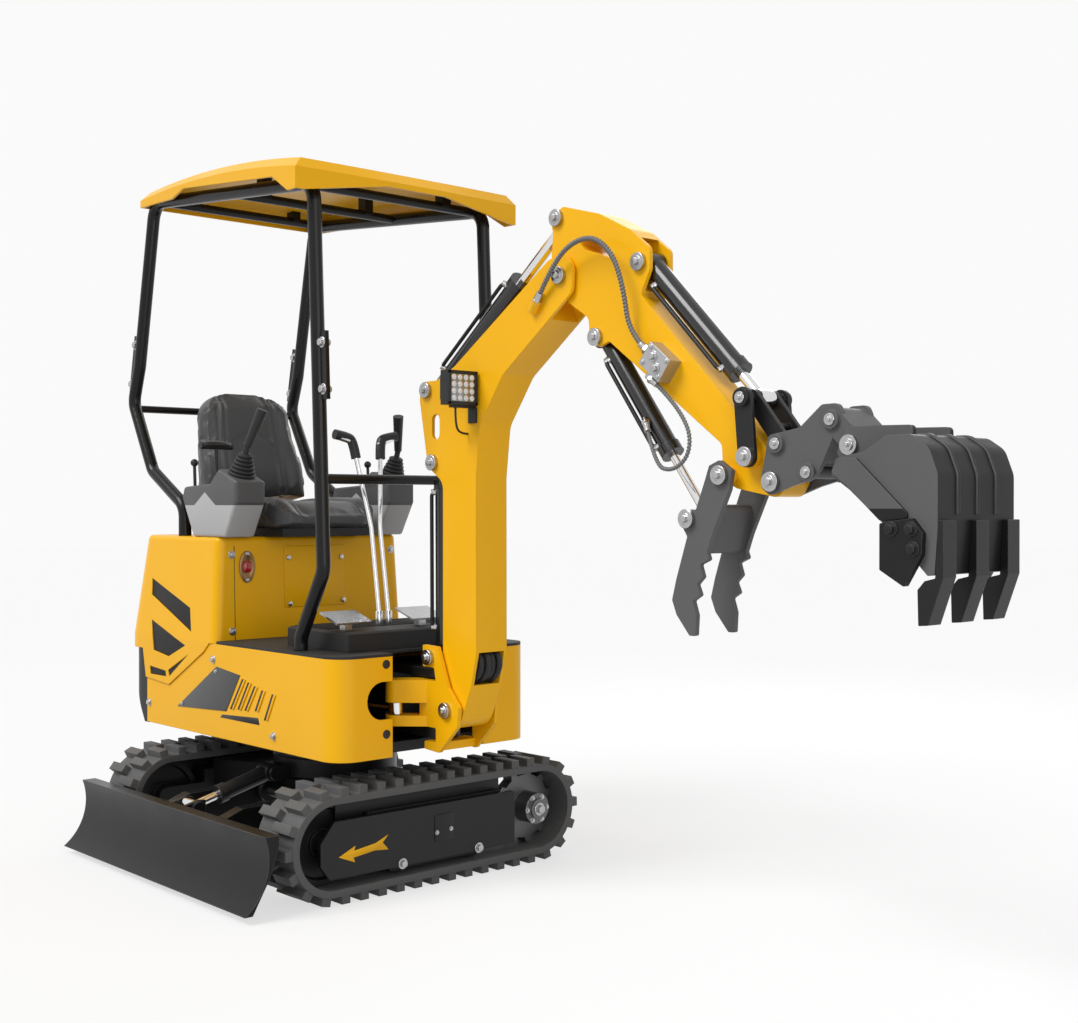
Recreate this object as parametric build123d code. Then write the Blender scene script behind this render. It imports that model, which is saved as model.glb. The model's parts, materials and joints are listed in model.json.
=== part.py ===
from build123d import *
import os
from math import atan2, cos, degrees, hypot, pi, radians, sin

# Mini excavator, millimetres. The origin is on the ground under the slew axis, +X is the travel
# direction of the undercarriage, where the blade is, and +Z is up. Everything above the slew ring
# is drawn in its own frame, u forward, v left and w up, and is turned by the slew angle at rest.

slew_at_rest = 90.0

# Undercarriage
track_gauge = 890.0
track_width = 180.0
track_outer_r = 157.0
lug_height = 22.0
lug_length = 27.0
lug_gap = 6.0
lug_pitch = 61.0
belt_thickness = 20.0
sprocket_x = -376.0
idler_x = 363.0
roller_xs = (-147.0, 129.0)
roller_r = 32.5
roller_width = 84.0
wheel_play = 0.5
sprocket_teeth = 11
sprocket_width = 40.0
idler_width = 50.0
axle_r = 14.0
axle_fit = 0.3
beam_width = 104.0
beam_low, beam_high = 112.0, 228.0
beam_rear, beam_front = -250.0, 235.0
cover_thickness = 12.0
cover_rear, cover_front = -279.0, 408.0
cover_low, cover_high = 70.0, 225.0
centre_low, centre_high = 165.0, 258.0
turntable_r = 190.0
slew_ring_r = 178.0
slew_ring_low, slew_ring_high = 312.0, 333.0
slew_play = 0.5

# Blade
blade_width = track_gauge + track_width
blade_pivot = (170.0, 190.0)
blade_top = (582.0, 218.0)
blade_foot = (643.0, 21.0)
blade_back_x = 540.0
blade_arm_y = 150.0
blade_arm_width = 40.0
blade_cyl_base = (238.0, 275.0)
blade_cyl_eye = (500.0, 205.0)
tie_hole = (470.0, 150.0)
tie_hole_r = 15.0
tow_hole = (-180.0, 0.0)
tow_eye_r = 32.0
tow_plate = 20.0
tow_low = 200.0

# Upper body
body_half = 350.0
body_front = 520.0
body_low, deck_z = 375.0, 656.0
body_wall = 8.0
front_corner_r = 72.0
front_gap_half = 164.0
notch_outer = 250.0
notch_low, notch_high = 482.0, 587.0
skirt_rear = -560.0
tail_u = -700.0
tail_corner_r = 85.0
cowl_corner_r = 30.0
cowl_lean = 8.0
tail_low, tail_split = 371.0, 612.0
cowl_front = -122.0
apron_thickness = 4.0
apron_gap = 0.5
cowl_half = body_half + apron_thickness
cowl_top_half = 336.0
cowl_top_rear = -632.0
cowl_top = 978.0
cowl_wall = 6.0
cowl_edge_r = 14.0
deck_thickness = 8.0
floor_box_rear, floor_box_front = 120.0, 430.0
floor_box_half = 250.0
floor_box_height = 56.0
frame_plate = 30.0

# Kingpin and swing bracket
kingpin_u = 530.0
kingpin_r = 22.0
pin_fit = 0.4
ear_low, ear_high = (420.0, 450.0), (590.0, 615.0)
hub_r = 50.0
hub_play = 5.0
bracket_inner, bracket_outer = 60.0, 72.0
lever_pin = (-60.0, -115.0)
lever_r = 30.0
lever_z = 503.0
lever_gap = 36.0
swing_base = (20.0, -190.0)

# Digging gear: pins in the boom's plane, each placed from the one that carries it
boom_foot = (kingpin_u + 111.0, 509.0)
boom_cyl_base = (boom_foot[0] - 76.0, boom_foot[1] + 141.0)
boom_cyl_eye = (boom_foot[0] - 79.0, boom_foot[1] + 686.0)
arm_cyl_base = (boom_foot[0] - 107.0, boom_foot[1] + 890.0)
boom_tip = (boom_foot[0] + 442.0, boom_foot[1] + 1150.0)
arm_cyl_eye = (boom_tip[0] - 24.0, boom_tip[1] + 151.0)
bucket_cyl_base = (boom_tip[0] + 266.0, boom_tip[1] + 4.0)
thumb_cyl_base = (boom_tip[0] + 118.0, boom_tip[1] - 165.0)
arm_end = (boom_tip[0] + 683.0, boom_tip[1] - 531.0)
rocker_foot = (arm_end[0] - 60.0, arm_end[1] + 56.0)
rocker_top = (arm_end[0] - 72.0, arm_end[1] + 188.0)
link_eye = (arm_end[0] + 14.0, arm_end[1] + 83.0)
thumb_pivot = (arm_end[0] - 132.0, arm_end[1] + 16.0)
thumb_eye = (thumb_pivot[0] - 98.0, thumb_pivot[1] - 99.0)
latch_pin = (arm_end[0] + 160.0, arm_end[1] + 130.0)
hitch_pin = (arm_end[0] + 98.0, arm_end[1] + 19.0)
bucket_pin = (arm_end[0] + 218.0, arm_end[1] + 74.0)

boom_half = 55.0
boom_plate = 10.0
arm_half = 41.0
side_play = 5.0
pin_r = 14.0
pin_head_r = 21.0
pin_head = 8.0
eye_half = 27.0
ear_play = 3.0
ear_half = 42.0
rocker_inner, rocker_outer = 62.0, 72.0
link_inner, link_outer = 27.0, 39.0
coupler_inner, coupler_outer = 46.0, 57.0
bucket_ear_inner, bucket_ear_outer = 62.0, 74.0
thumb_inner, thumb_outer = 62.0, 75.0
bucket_half = 140.0
bucket_sheet = 12.0
bucket_rib = (4.0, 8.0)
bucket_rib_vs = (-bucket_half / 2, 0.0, bucket_half / 2)
bucket_strip = 6.0
cutter_thickness = 14.0
tooth_width = 44.0
tooth_spacing = bucket_half - tooth_width / 2

# Hydraulic cylinders: barrel radius, rod radius, barrel length from its pin, rod length behind its eye
boom_cyl = (37.0, 18.0, 498.0, 430.0)
arm_cyl = (32.0, 16.0, 440.0, 480.0)
bucket_cyl = (27.0, 13.0, 400.0, 410.0)
thumb_cyl = (25.0, 12.0, 370.0, 390.0)
swing_cyl = (26.0, 13.0, 300.0, 345.0)
blade_cyl = (24.0, 12.0, 182.0, 182.0)
rod_fit = 0.5
arm_cyl_dip = 30.0
gland_length = 26.0
gland_lip = 4.0
eye_r = 27.0
end_eye_r = 22.0

# Canopy: the side frame's corners, each placed from the deck, the cowl or the roof
post_r = 20.0
post_v = 308.0
post_foot_u = 280.0
front_post_bend = (395.0, deck_z + 238.0)
front_post_top = (347.0, deck_z + 1322.0)
rear_post_top = (-580.0, deck_z + 1404.0)
rear_post_joint = (-687.0, deck_z + 880.0)
rear_post_bend = (-730.0, deck_z + 760.0)
rear_post_knee = (-596.0, deck_z + 531.0)
rear_foot_u = -385.0
foot_length = 36.0
bend_r = 60.0
rail_r = 14.0
rail_z = deck_z + 493.0
rear_bar_r = 12.0
rear_bar_z = deck_z + 740.0
roof_bar_us = (300.0, -103.0, -530.0)
roof_pad_v = 190.0
joint_plate = (12.0, 34.0, 190.0)
front_joint_z, rear_joint_z = deck_z + 806.0, deck_z + 880.0
roof_half, roof_rear_half = 400.0, 345.0
roof_front, roof_rear = 420.0, -610.0
roof_corner_u = 396.0
roof_edge_half = 105.0
roof_top_front, roof_top_mid, roof_top_rear = deck_z + 1369.0, deck_z + 1432.0, deck_z + 1437.0
roof_top_mid_u = -110.0
roof_wall = 7.0
roof_bevel = 26.0
fascia_front, fascia_nose = deck_z + 1286.0, deck_z + 1328.0
fascia_arch_front, fascia_arch_rear = (265.0, deck_z + 1338.0), (-296.0, deck_z + 1399.0)
fascia_rear = (-377.0, deck_z + 1380.0)
fascia_rear_low = deck_z + 1388.0

# Seat and controls
seat_half = 200.0
seat_front, seat_rear = 10.0, -470.0
cushion_low, cushion_high = cowl_top + 26.0, cowl_top + 112.0
cushion_corner_r = 60.0
back_half = 186.0
back_height = 380.0
back_thickness = 90.0
back_lean = 12.0
soft_gap = 0.5
console_half = 52.0
console_v = body_half - 68.0
console_rear, console_front = -360.0, -32.0
console_height = 208.0
stick_r = 12.0
lever_rod_r = 7.0
lever_foot_u = 255.0
lever_spread = 45.0
pedal_vs = (-205.0, 60.0)
pedal_size = (120.0, 90.0, 6.0)
pedal_lean = 18.0

# Lamp on the boom, valve block on the arm and hoses
lamp_size = (44.0, 100.0, 92.0)
lamp_place = (boom_foot[0] + 99.0, boom_foot[1] + 881.0)
lamp_gap = 6.0
lamp_edge = 12.0
lamp_strap = 6.0
valve_size = (80.0, 40.0, 62.0)
valve_place = (boom_tip[0] + 352.0, boom_tip[1] - 246.0)
valve_turn = -38.0
hose_d = 14.0
thin_hose_d = 11.0
cable_d = 6.0
ferrule = 18.0
elbow_drop, elbow_at = 16.0, -10.0


def slab(face, v_from, v_to):
    return extrude(Plane.XZ.offset(-v_to) * face, amount=v_to - v_from)


def both_sides(face, v_from, v_to):
    return slab(face, v_from, v_to) + slab(face, -v_to, -v_from)


def rounded(points, radius):
    return make_face(FilletPolyline(*points, radius=radius, close=True))


def polygon(points):
    return make_face(Polyline(*points, close=True))


def disc(point, radius):
    return Pos(*point) * Circle(radius)


def bar(start, end, radius):
    middle = ((start[0] + end[0]) / 2, (start[1] + end[1]) / 2)
    turn = degrees(atan2(end[1] - start[1], end[0] - start[0]))
    return Pos(*middle) * Rot(0, 0, turn) * SlotCenterToCenter(distance(start, end), 2 * radius)


def distance(start, end):
    return hypot(end[0] - start[0], end[1] - start[1])


def shifted(point, du, dw):
    return (point[0] + du, point[1] + dw)


def cross_pin(point, radius, half):
    return Pos(point[0], 0, point[1]) * Rot(90, 0, 0) * Cylinder(radius, 2 * half)


def pin_heads(point, v_face):
    head = Rot(90, 0, 0) * Cylinder(pin_head_r, pin_head)
    seat = v_face + pin_head / 2
    return Pos(point[0], seat, point[1]) * head + Pos(point[0], -seat, point[1]) * head


def block(u, v, w):
    centre = [(low + high) / 2 for low, high in (u, v, w)]
    return Pos(*centre) * Box(u[1] - u[0], v[1] - v[0], w[1] - w[0])


def column(face, low, high):
    return Pos(0, 0, low) * extrude(face, amount=high - low)


def tube(points, radius, bend):
    path = FilletPolyline(*points, radius=bend)
    return sweep(Plane(path @ 0, z_dir=path % 0) * Circle(radius), path=path)


def along(start, end, radius):
    return Pos((start + end) / 2, 0, 0) * Rot(0, 90, 0) * Cylinder(radius, end - start)


def beside(point, turn, forward, up):
    c, s = cos(radians(turn)), sin(radians(turn))
    return (point[0] + forward * c - up * s, point[1] + forward * s + up * c)


# Hydraulic cylinders lie along +X from the barrel's pin, with their pins along Y
def barrel(sizes, half_width, bore_r):
    outer_r, rod_r, length, _ = sizes
    shell = along(0.8 * eye_r, length, outer_r) + along(length - gland_length, length, outer_r + gland_lip)
    shell += cross_pin((0, 0), eye_r, half_width)
    shell -= along(1.4 * eye_r, 2 * length, rod_r + rod_fit)
    return shell - cross_pin((0, 0), bore_r + pin_fit, 2 * half_width)


def rod(sizes, reach, half_width):
    rod_r, length = sizes[1], sizes[3]
    shaft = Pos(reach - length / 2, 0, 0) * Rot(0, 90, 0) * Cylinder(rod_r, length)
    return shaft + cross_pin((reach, 0), end_eye_r, half_width)


def aimed(part, base, eye):
    lift = degrees(atan2(eye[1] - base[1], eye[0] - base[0]))
    return Pos(base[0], 0, base[1]) * Rot(0, -lift, 0) * part


def swung(part, base, eye, height):
    heading = degrees(atan2(eye[1] - base[1], eye[0] - base[0]))
    return Pos(base[0], base[1], height) * Rot(0, 0, heading) * Rot(90, 0, 0) * part


def cylinder_pair(sizes, base, eye, half_width, eye_half_width):
    return (aimed(barrel(sizes, half_width, pin_r), base, eye),
            aimed(rod(sizes, distance(base, eye), eye_half_width), base, eye))


# Tracks
track_y = track_gauge / 2
axle_z = track_outer_r
belt_r = track_outer_r - lug_height
belt_inner_r = belt_r - belt_thickness
track_length = idler_x - sprocket_x


def loop_face(radius):
    middle = (sprocket_x + idler_x) / 2
    return Pos(middle, axle_z) * SlotCenterToCenter(track_length, 2 * radius)


def loop_place(along, radius):
    arc = pi * radius
    if along < track_length:
        return sprocket_x + along, axle_z - radius, -90.0
    along -= track_length
    if along < arc:
        turn = -90.0 + degrees(along / radius)
        return idler_x + radius * cos(radians(turn)), axle_z + radius * sin(radians(turn)), turn
    along -= arc
    if along < track_length:
        return idler_x - along, axle_z + radius, 90.0
    turn = 90.0 + degrees((along - track_length) / radius)
    return sprocket_x + radius * cos(radians(turn)), axle_z + radius * sin(radians(turn)), turn


def track_lugs():
    loop = 2 * track_length + 2 * pi * belt_r
    count = round(loop / lug_pitch)
    width = track_width / 2 - lug_gap
    root = 2.0
    lug = Pos(lug_height / 2 - root / 2, 0, 0) * Box(lug_height + root, width, lug_length)
    lugs = []
    for side in (-1, 1):
        for number in range(count):
            along = (number + 0.25 + 0.25 * side) * loop / count
            x, z, turn = loop_place(along, belt_r)
            place = Pos(x, side * (width / 2 + lug_gap / 2), z) * Rot(0, -turn, 0)
            lugs.append(place * lug)
    return lugs


def track():
    belt = slab(loop_face(belt_r) - loop_face(belt_inner_r), -track_width / 2, track_width / 2)
    return belt + track_lugs()


# Wheels inside the tracks, drawn about the track's own middle plane
def sprocket():
    tooth_r = belt_inner_r - wheel_play
    root_r = tooth_r - 18
    face = Circle(root_r)
    for number in range(sprocket_teeth):
        tooth = polygon([(root_r - 8, -16), (tooth_r - 2, -8), (tooth_r - 2, 8), (root_r - 8, 16)])
        face += Rot(0, 0, number * 360 / sprocket_teeth) * tooth
    wheel = slab(face, -sprocket_width / 2, sprocket_width / 2)
    hub = slab(Circle(46), 0, track_width / 2 - 12)
    cap = slab(Circle(30), 0, track_width / 2 - 2)
    return Pos(sprocket_x, 0, axle_z) * (wheel + hub + cap)


def idler():
    rim_r = belt_inner_r - wheel_play
    half = idler_width / 2
    profile = [(axle_r + axle_fit, -half), (40, -half), (40, -half + 12), (rim_r - 22, -half + 12),
               (rim_r - 16, -half), (rim_r, -half), (rim_r, half), (rim_r - 16, half),
               (rim_r - 22, half - 12), (40, half - 12), (40, half), (axle_r + axle_fit, half)]
    return Pos(idler_x, 0, axle_z) * Rot(90, 0, 0) * revolve(Plane.XZ * polygon(profile), Axis.Z)


def roller_z():
    return axle_z - belt_inner_r + roller_r + wheel_play


def rollers():
    wheel = slab(Circle(roller_r) - Circle(axle_r + axle_fit), -roller_width / 2, roller_width / 2)
    return [Pos(x, 0, roller_z()) * wheel for x in roller_xs]


def left_and_right(part):
    return [Pos(0, track_y, 0) * part, Pos(0, -track_y, 0) * (Rot(0, 0, 180) * mirror(part, Plane.YZ))]


# Frame between and inside the tracks
def side_frame():
    half = beam_width / 2
    cheek_inner = roller_width / 2 + 4
    beam = block((beam_rear, beam_front), (-half, half), (beam_low, beam_high))
    cheek = rounded([(roller_xs[0] - 45, beam_low), (roller_xs[1] + 45, beam_low),
                     (roller_xs[1] + 30, roller_z() - 22), (roller_xs[0] - 30, roller_z() - 22)], 6)
    frame = beam + both_sides(cheek, cheek_inner, half)
    for x in roller_xs:
        frame += cross_pin((x, roller_z()), axle_r, half)
    yoke = bar((beam_front - 30, axle_z), (idler_x, axle_z), 30)
    frame += both_sides(yoke, idler_width / 2 + 4, half)
    frame += cross_pin((idler_x, axle_z), axle_r, half)
    frame += slab(bar((sprocket_x, axle_z), (beam_rear + 40, axle_z), 55), -half - 20, -half)
    frame += slab(disc((sprocket_x, axle_z), 50), -half - 20, -sprocket_width / 2)
    cover_v = track_width / 2 - 6
    cover = rounded([(cover_rear, cover_low), (cover_front - 30, cover_low), (cover_front, cover_low + 40),
                     (cover_front, cover_high - 55), (cover_front - 45, cover_high),
                     (cover_rear, cover_high)], 8)
    frame += slab(cover, cover_v - cover_thickness, cover_v)
    for x in (beam_rear + 60, 0, beam_front - 40):
        frame += block((x - 20, x + 20), (half, cover_v - cover_thickness), (beam_low + 20, beam_high - 20))
    return frame


def blade_lug():
    face = bar((centre_front() - 20, blade_pivot[1] + 10), blade_pivot, 32)
    play = blade_arm_width / 2 + 4
    return both_sides(face, blade_arm_y - play - 16, blade_arm_y - play) + both_sides(
        face, blade_arm_y + play, blade_arm_y + play + 16)


def centre_front():
    return blade_pivot[0] - 42


def track_frame():
    beam_inner = track_y - beam_width / 2
    front = centre_front()
    plan = polygon([(front, -200), (front, 200), (205, beam_inner), (-205, beam_inner), (-150, 200),
                    (-150, -200),
                    (-205, -beam_inner), (205, -beam_inner)])
    frame = column(plan, centre_low, centre_high)
    frame += column(Circle(turntable_r), centre_high, slew_ring_low)
    for part in left_and_right(side_frame()):
        frame += part
    frame += blade_lug()
    half = blade_arm_y + blade_arm_width / 2 + 20
    frame += cross_pin(blade_pivot, axle_r, half)
    ear = bar((150, centre_high + 10), blade_cyl_base, 22)
    frame += both_sides(ear, eye_half + ear_play, ear_half)
    frame += cross_pin(blade_cyl_base, pin_r, ear_half)
    eye = bar((-140, 0), tow_hole, tow_eye_r) - Pos(*tow_hole) * Circle(tie_hole_r)
    frame += column(eye, tow_low, tow_low + tow_plate)
    return frame + column(Circle(slew_ring_r), slew_ring_low, slew_ring_high)


# Blade, a curved sheet on two arms that turn on the frame
def blade():
    curl = ThreePointArc(blade_top, (blade_top[0] - 4, 110), blade_foot)
    back = [blade_foot, (blade_foot[0] - 24, blade_foot[1]), (blade_back_x + 28, 110), (blade_back_x, 190),
            (blade_back_x, blade_top[1]), blade_top]
    face = make_face(curl + Polyline(*back))
    sheet = slab(face, -blade_width / 2, blade_width / 2)
    arm = polygon([(blade_pivot[0], blade_pivot[1] - 28), (blade_back_x + 20, 70), (blade_back_x + 10, 170),
                   (430, 215), (blade_pivot[0], blade_pivot[1] + 28)])
    arm = arm + disc(blade_pivot, 28) - disc(blade_pivot, axle_r + pin_fit) - disc(tie_hole, tie_hole_r)
    half = blade_arm_width / 2
    sheet += both_sides(arm, blade_arm_y - half, blade_arm_y + half)
    ear = polygon([shifted(blade_cyl_eye, -24, 22), shifted(blade_cyl_eye, -24, -24),
                   (blade_back_x + 10, 150),
                   (blade_back_x + 5, blade_top[1]), shifted(blade_cyl_eye, 0, 24)])
    sheet += both_sides(ear, eye_half + ear_play, ear_half)
    return sheet + pin_heads(blade_cyl_eye, ear_half)


# Upper body
def body_plan(rear, half, front, inset, rear_r):
    low, high, side = rear + inset, front - inset, half - inset
    points = [(low, -side), (high, -side), (high, side), (low, side)]
    return rounded(points, [rear_r, front_corner_r - inset, front_corner_r - inset, rear_r])


def skirt():
    small = body_wall / 2
    shell = column(body_plan(skirt_rear, body_half, body_front, 0, small), body_low, deck_z)
    shell -= column(body_plan(skirt_rear - 2 * body_wall, body_half, body_front, body_wall, small), body_low,
                    deck_z)
    shell -= block((body_front - 90, body_front + 10), (-front_gap_half, front_gap_half), (0, deck_z + 1))
    reach = (notch_high - notch_low) / 2
    notch = Pos(-notch_outer + reach, (notch_low + notch_high) / 2) * Circle(reach)
    notch += Pos(-(front_gap_half + notch_outer - reach) / 2, (notch_low + notch_high) / 2) * Rectangle(
        notch_outer - reach - front_gap_half + 2, 2 * reach)
    cut = extrude(Plane.YZ.offset(body_front - 40) * notch, amount=60)
    return shell - cut


def upper_frame():
    inner = body_half - body_wall
    plate = column(body_plan(skirt_rear, inner, body_front - 60, 0, 6), body_low, body_low + frame_plate)
    plate += column(Circle(slew_ring_r + 8), slew_ring_high + slew_play, body_low)
    tower = block((230, 320), (-40, 150), (body_low, ear_high[1]))
    ear = make_hull((disc((kingpin_u, 0), hub_r + 4) + Pos(290, 55) * Rectangle(60, 190)).edges())
    plate += tower + column(ear, *ear_low) + column(ear, *ear_high)
    plate += Pos(kingpin_u, 0, (ear_low[0] + ear_high[1]) / 2) * Cylinder(kingpin_r, ear_high[1] - ear_low[0])
    lug = make_hull((disc(swing_base, 30) + Pos(-60, swing_base[1]) * Rectangle(20, 80)).edges())
    play = eye_half + ear_play
    plate += column(lug, lever_z - play - 16, lever_z - play) + column(lug, lever_z + play,
                                                                       lever_z + play + 16)
    plate += block((-90, -50), (swing_base[1] - 40, swing_base[1] + 40), (body_low, lever_z + play + 16))
    return plate + Pos(*swing_base, lever_z) * Cylinder(pin_r, 2 * play + 32)


def cowl_plan(rear, half, front, corner):
    points = [(rear, -half), (front, -half), (front, half), (rear, half)]
    return rounded(points, [corner, cowl_corner_r, cowl_corner_r, corner])


def cowl_solid(inset):
    top = cowl_top - inset
    side = polygon([(tail_u + inset, deck_z), (cowl_front - inset, deck_z),
                    (cowl_front - cowl_lean - inset, top), (cowl_top_rear + inset, top)])
    half, top_half = cowl_half - inset, cowl_top_half - inset
    front = polygon([(-half, deck_z), (half, deck_z), (top_half, top), (-top_half, top)])
    solid = slab(side, -half, half) & extrude(Plane.YZ.offset(tail_u) * front, amount=cowl_front - tail_u)
    corners = [edge for edge in solid.edges() if edge.bounding_box().size.Z > (cowl_top - deck_z) / 2]
    rear = [edge for edge in corners if edge.center().X < (tail_u + cowl_front) / 2]
    solid = fillet(rear, tail_corner_r - inset)
    corners = [edge for edge in solid.edges().filter_by(GeomType.LINE)
               if edge.bounding_box().size.Z > (cowl_top - deck_z) / 2]
    ahead = [edge for edge in corners if edge.center().X > cowl_front - 2 * cowl_corner_r - cowl_lean]
    return fillet(ahead, cowl_corner_r - inset)


def cowl_apron():
    rear = skirt_rear - 20
    edge = polygon([(rear, tail_split), (skirt_rear, tail_split - 92), (-408, tail_split - 104),
                    (-191, deck_z - 29), (cowl_front - 30, deck_z + 4), (rear, deck_z + 4)])
    return both_sides(edge, body_half + apron_gap, cowl_half)


def cowl_vents():
    faces = [[(-534, 840), (-280, 757), (-266, 682), (-532, 786)],
             [(-523, 707), (-301, 639), (-408, 597), (-507, 610)],
             [(-532, 558), (-427, 550), (-424, 532), (-528, 532)],
             [(-412, 553), (-280, 614), (-404, 534)]]
    cuts = [both_sides(polygon(points), cowl_half - 3 * cowl_wall, cowl_half + 1) for points in faces]
    return cuts[0] + cuts[1:]


def cowl():
    outer, inner = cowl_solid(0), cowl_solid(cowl_wall)
    tail = extrude(outer.faces().sort_by(Axis.Z)[0], amount=deck_z - tail_split)
    tail &= block((tail_u, skirt_rear), (-cowl_half, cowl_half), (tail_split, deck_z))
    hollow = inner + extrude(inner.faces().sort_by(Axis.Z)[0], amount=deck_z - tail_split + 1)
    outer = fillet(outer.faces().sort_by(Axis.Z)[-1].edges(), cowl_edge_r)
    return outer + tail - hollow + cowl_apron() - cowl_vents()


def counterweight():
    plan = column(cowl_plan(tail_u + 4, cowl_half - 12, cowl_front, tail_corner_r), tail_low, tail_split)
    side = polygon([(skirt_rear, tail_low), (skirt_rear - 30, tail_low), (tail_u, tail_split - 60),
                    (tail_u, tail_split), (skirt_rear, tail_split)])
    return plan & slab(side, -cowl_half, cowl_half)


def engine():
    return block((-520, -220), (-200, 200), (body_low + frame_plate, 900))


def floor_deck():
    plan = body_plan(cowl_front + 1, body_half, body_front, 0, 4)
    plan -= Pos(body_front, 0) * Rectangle(130, 2 * front_gap_half)
    return column(plan, deck_z, deck_z + deck_thickness)


def floor_box():
    top = deck_z + deck_thickness + floor_box_height
    box = block((floor_box_rear, floor_box_front), (-floor_box_half, floor_box_half),
                (deck_z + deck_thickness, top))
    return chamfer(box.faces().sort_by(Axis.Z)[-1].edges(), 6)


# Seat and controls
def seat_cushion():
    pad = block((seat_rear, seat_front), (-seat_half, seat_half), (cushion_low, cushion_high))
    return fillet(pad.edges().filter_by(Axis.Z), cushion_corner_r)


def back_place():
    rise = soft_gap + back_thickness * sin(radians(back_lean))
    return Pos(seat_rear + 20, 0, cushion_high + rise) * Rot(0, -back_lean, 0)


def seat_back():
    top = back_half - 40
    face = rounded([(-back_half, 0), (back_half, 0), (top, back_height), (-top, back_height)],
                   cushion_corner_r)
    return back_place() * extrude(Plane.YZ * face, amount=-back_thickness)


def seat_base():
    base = block((seat_rear - 60, seat_front - 40), (-170, 170), (cowl_top, cushion_low))
    plate = back_place() * block((-back_thickness - 12, -back_thickness), (-110, 110),
                                 (-200, back_height - 140))
    return base + (plate & block((-900, 0), (-110, 110), (cowl_top, cowl_top + 900)))


def console_edge():
    low, high = cowl_top, cowl_top + console_height
    return [(console_rear + 71, low), (console_front - 63, low), (console_front, low + 105),
            (console_front, high - 39), (console_front - 105, high), (console_front - 159, high - 45),
            (console_rear + 14, high - 53), (console_rear, high - 88)]


def console():
    return slab(rounded(console_edge(), 10), -console_half, console_half)


def on_edge(rear, front, share):
    turn = degrees(atan2(front[1] - rear[1], front[0] - rear[0]))
    u, w = beside(rear, turn, share * distance(rear, front), 0)
    return Pos(u, 0, w) * Rot(0, -turn, 0)


def joystick(side):
    boot = Pos(0, 0, 35) * Cone(34, 15, 70)
    neck = Pos(0, 0, 80) * Cylinder(9, 30)
    grip = Pos(0, 0, 92) * Rot(side * 14, 0, 0) * Pos(0, 0, 60) * Cone(stick_r, stick_r + 5, 120)
    return boot + neck + grip


def hand_controls():
    brow, peak, notch, back = console_edge()[3:7]
    parts = [Pos(0, side * console_v, 0) * on_edge(peak, brow, 0.5) * joystick(side) for side in (-1, 1)]
    handle = Pos(0, 0, 60) * Cylinder(6, 120) + Pos(0, 0, 120) * Rot(90, 0, 0) * Cylinder(11, 110)
    parts.append(Pos(0, -console_v, 0) * on_edge(back, notch, 0.75) * handle)
    small = Pos(0, 0, 35) * Cylinder(5, 70) + Pos(0, 0, 74) * Sphere(12)
    parts.append(Pos(0, -console_v - 25, 0) * on_edge(back, notch, 0.15) * small)
    parts.append(Pos(0, console_v + 25, 0) * on_edge(back, notch, 0.6) * small)
    return parts


def travel_levers():
    top = deck_z + deck_thickness + floor_box_height
    levers = []
    for side in (-1, 1):
        foot = (lever_foot_u, side * 17, top + 20)
        elbow = (lever_foot_u - 43, side * 16, top + 290)
        head = (lever_foot_u - 79, side * lever_spread, top + 500)
        lever = tube([foot, elbow, head], lever_rod_r, 60) + Pos(foot[0] - 2, foot[1],
                                                                 top + 20) * Cylinder(12, 40)
        grip = tube([head, (head[0] - 9, head[1] + side * 6, head[2] + 50),
                     (head[0] - 14, head[1] + side * 66, head[2] + 66)], 13, 20)
        levers.append(lever + grip)
    return levers


def pedals():
    top = deck_z + deck_thickness + floor_box_height
    length, width, thickness = pedal_size
    parts = []
    for v in pedal_vs:
        stand = block((floor_box_front - 90, floor_box_front - 64), (v - 12, v + 12), (top, top + 34))
        plate = Pos(floor_box_front - 77, v, top + 36) * Rot(0, pedal_lean, 0) * Box(width, length, thickness)
        parts.append(stand + plate)
    return parts


def side_path():
    deck = deck_z + deck_thickness
    return [(post_foot_u, deck), (post_foot_u, deck + foot_length), front_post_bend, front_post_top,
            rear_post_top, rear_post_joint, rear_post_bend, rear_post_knee,
            (rear_foot_u, cowl_top + 2.6 * foot_length), (rear_foot_u, cowl_top)]


def on_line(start, end, share):
    return (start[0] + share * (end[0] - start[0]), start[1] + share * (end[1] - start[1]))


def post_plate(start, end, height, side):
    u, w = on_line(start, end, (height - start[1]) / (end[1] - start[1]))
    thickness, width, length = joint_plate
    lean = degrees(atan2(end[0] - start[0], end[1] - start[1]))
    plate = Pos(side * (post_r + width / 2 - 8), 0, 0) * Box(width, thickness, length)
    return Pos(u, 0, w) * Rot(0, lean, 0) * plate


def cross_bar(point, radius):
    return Pos(point[0], 0, point[1]) * Rot(90, 0, 0) * Cylinder(radius, 2 * post_v)


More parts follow.
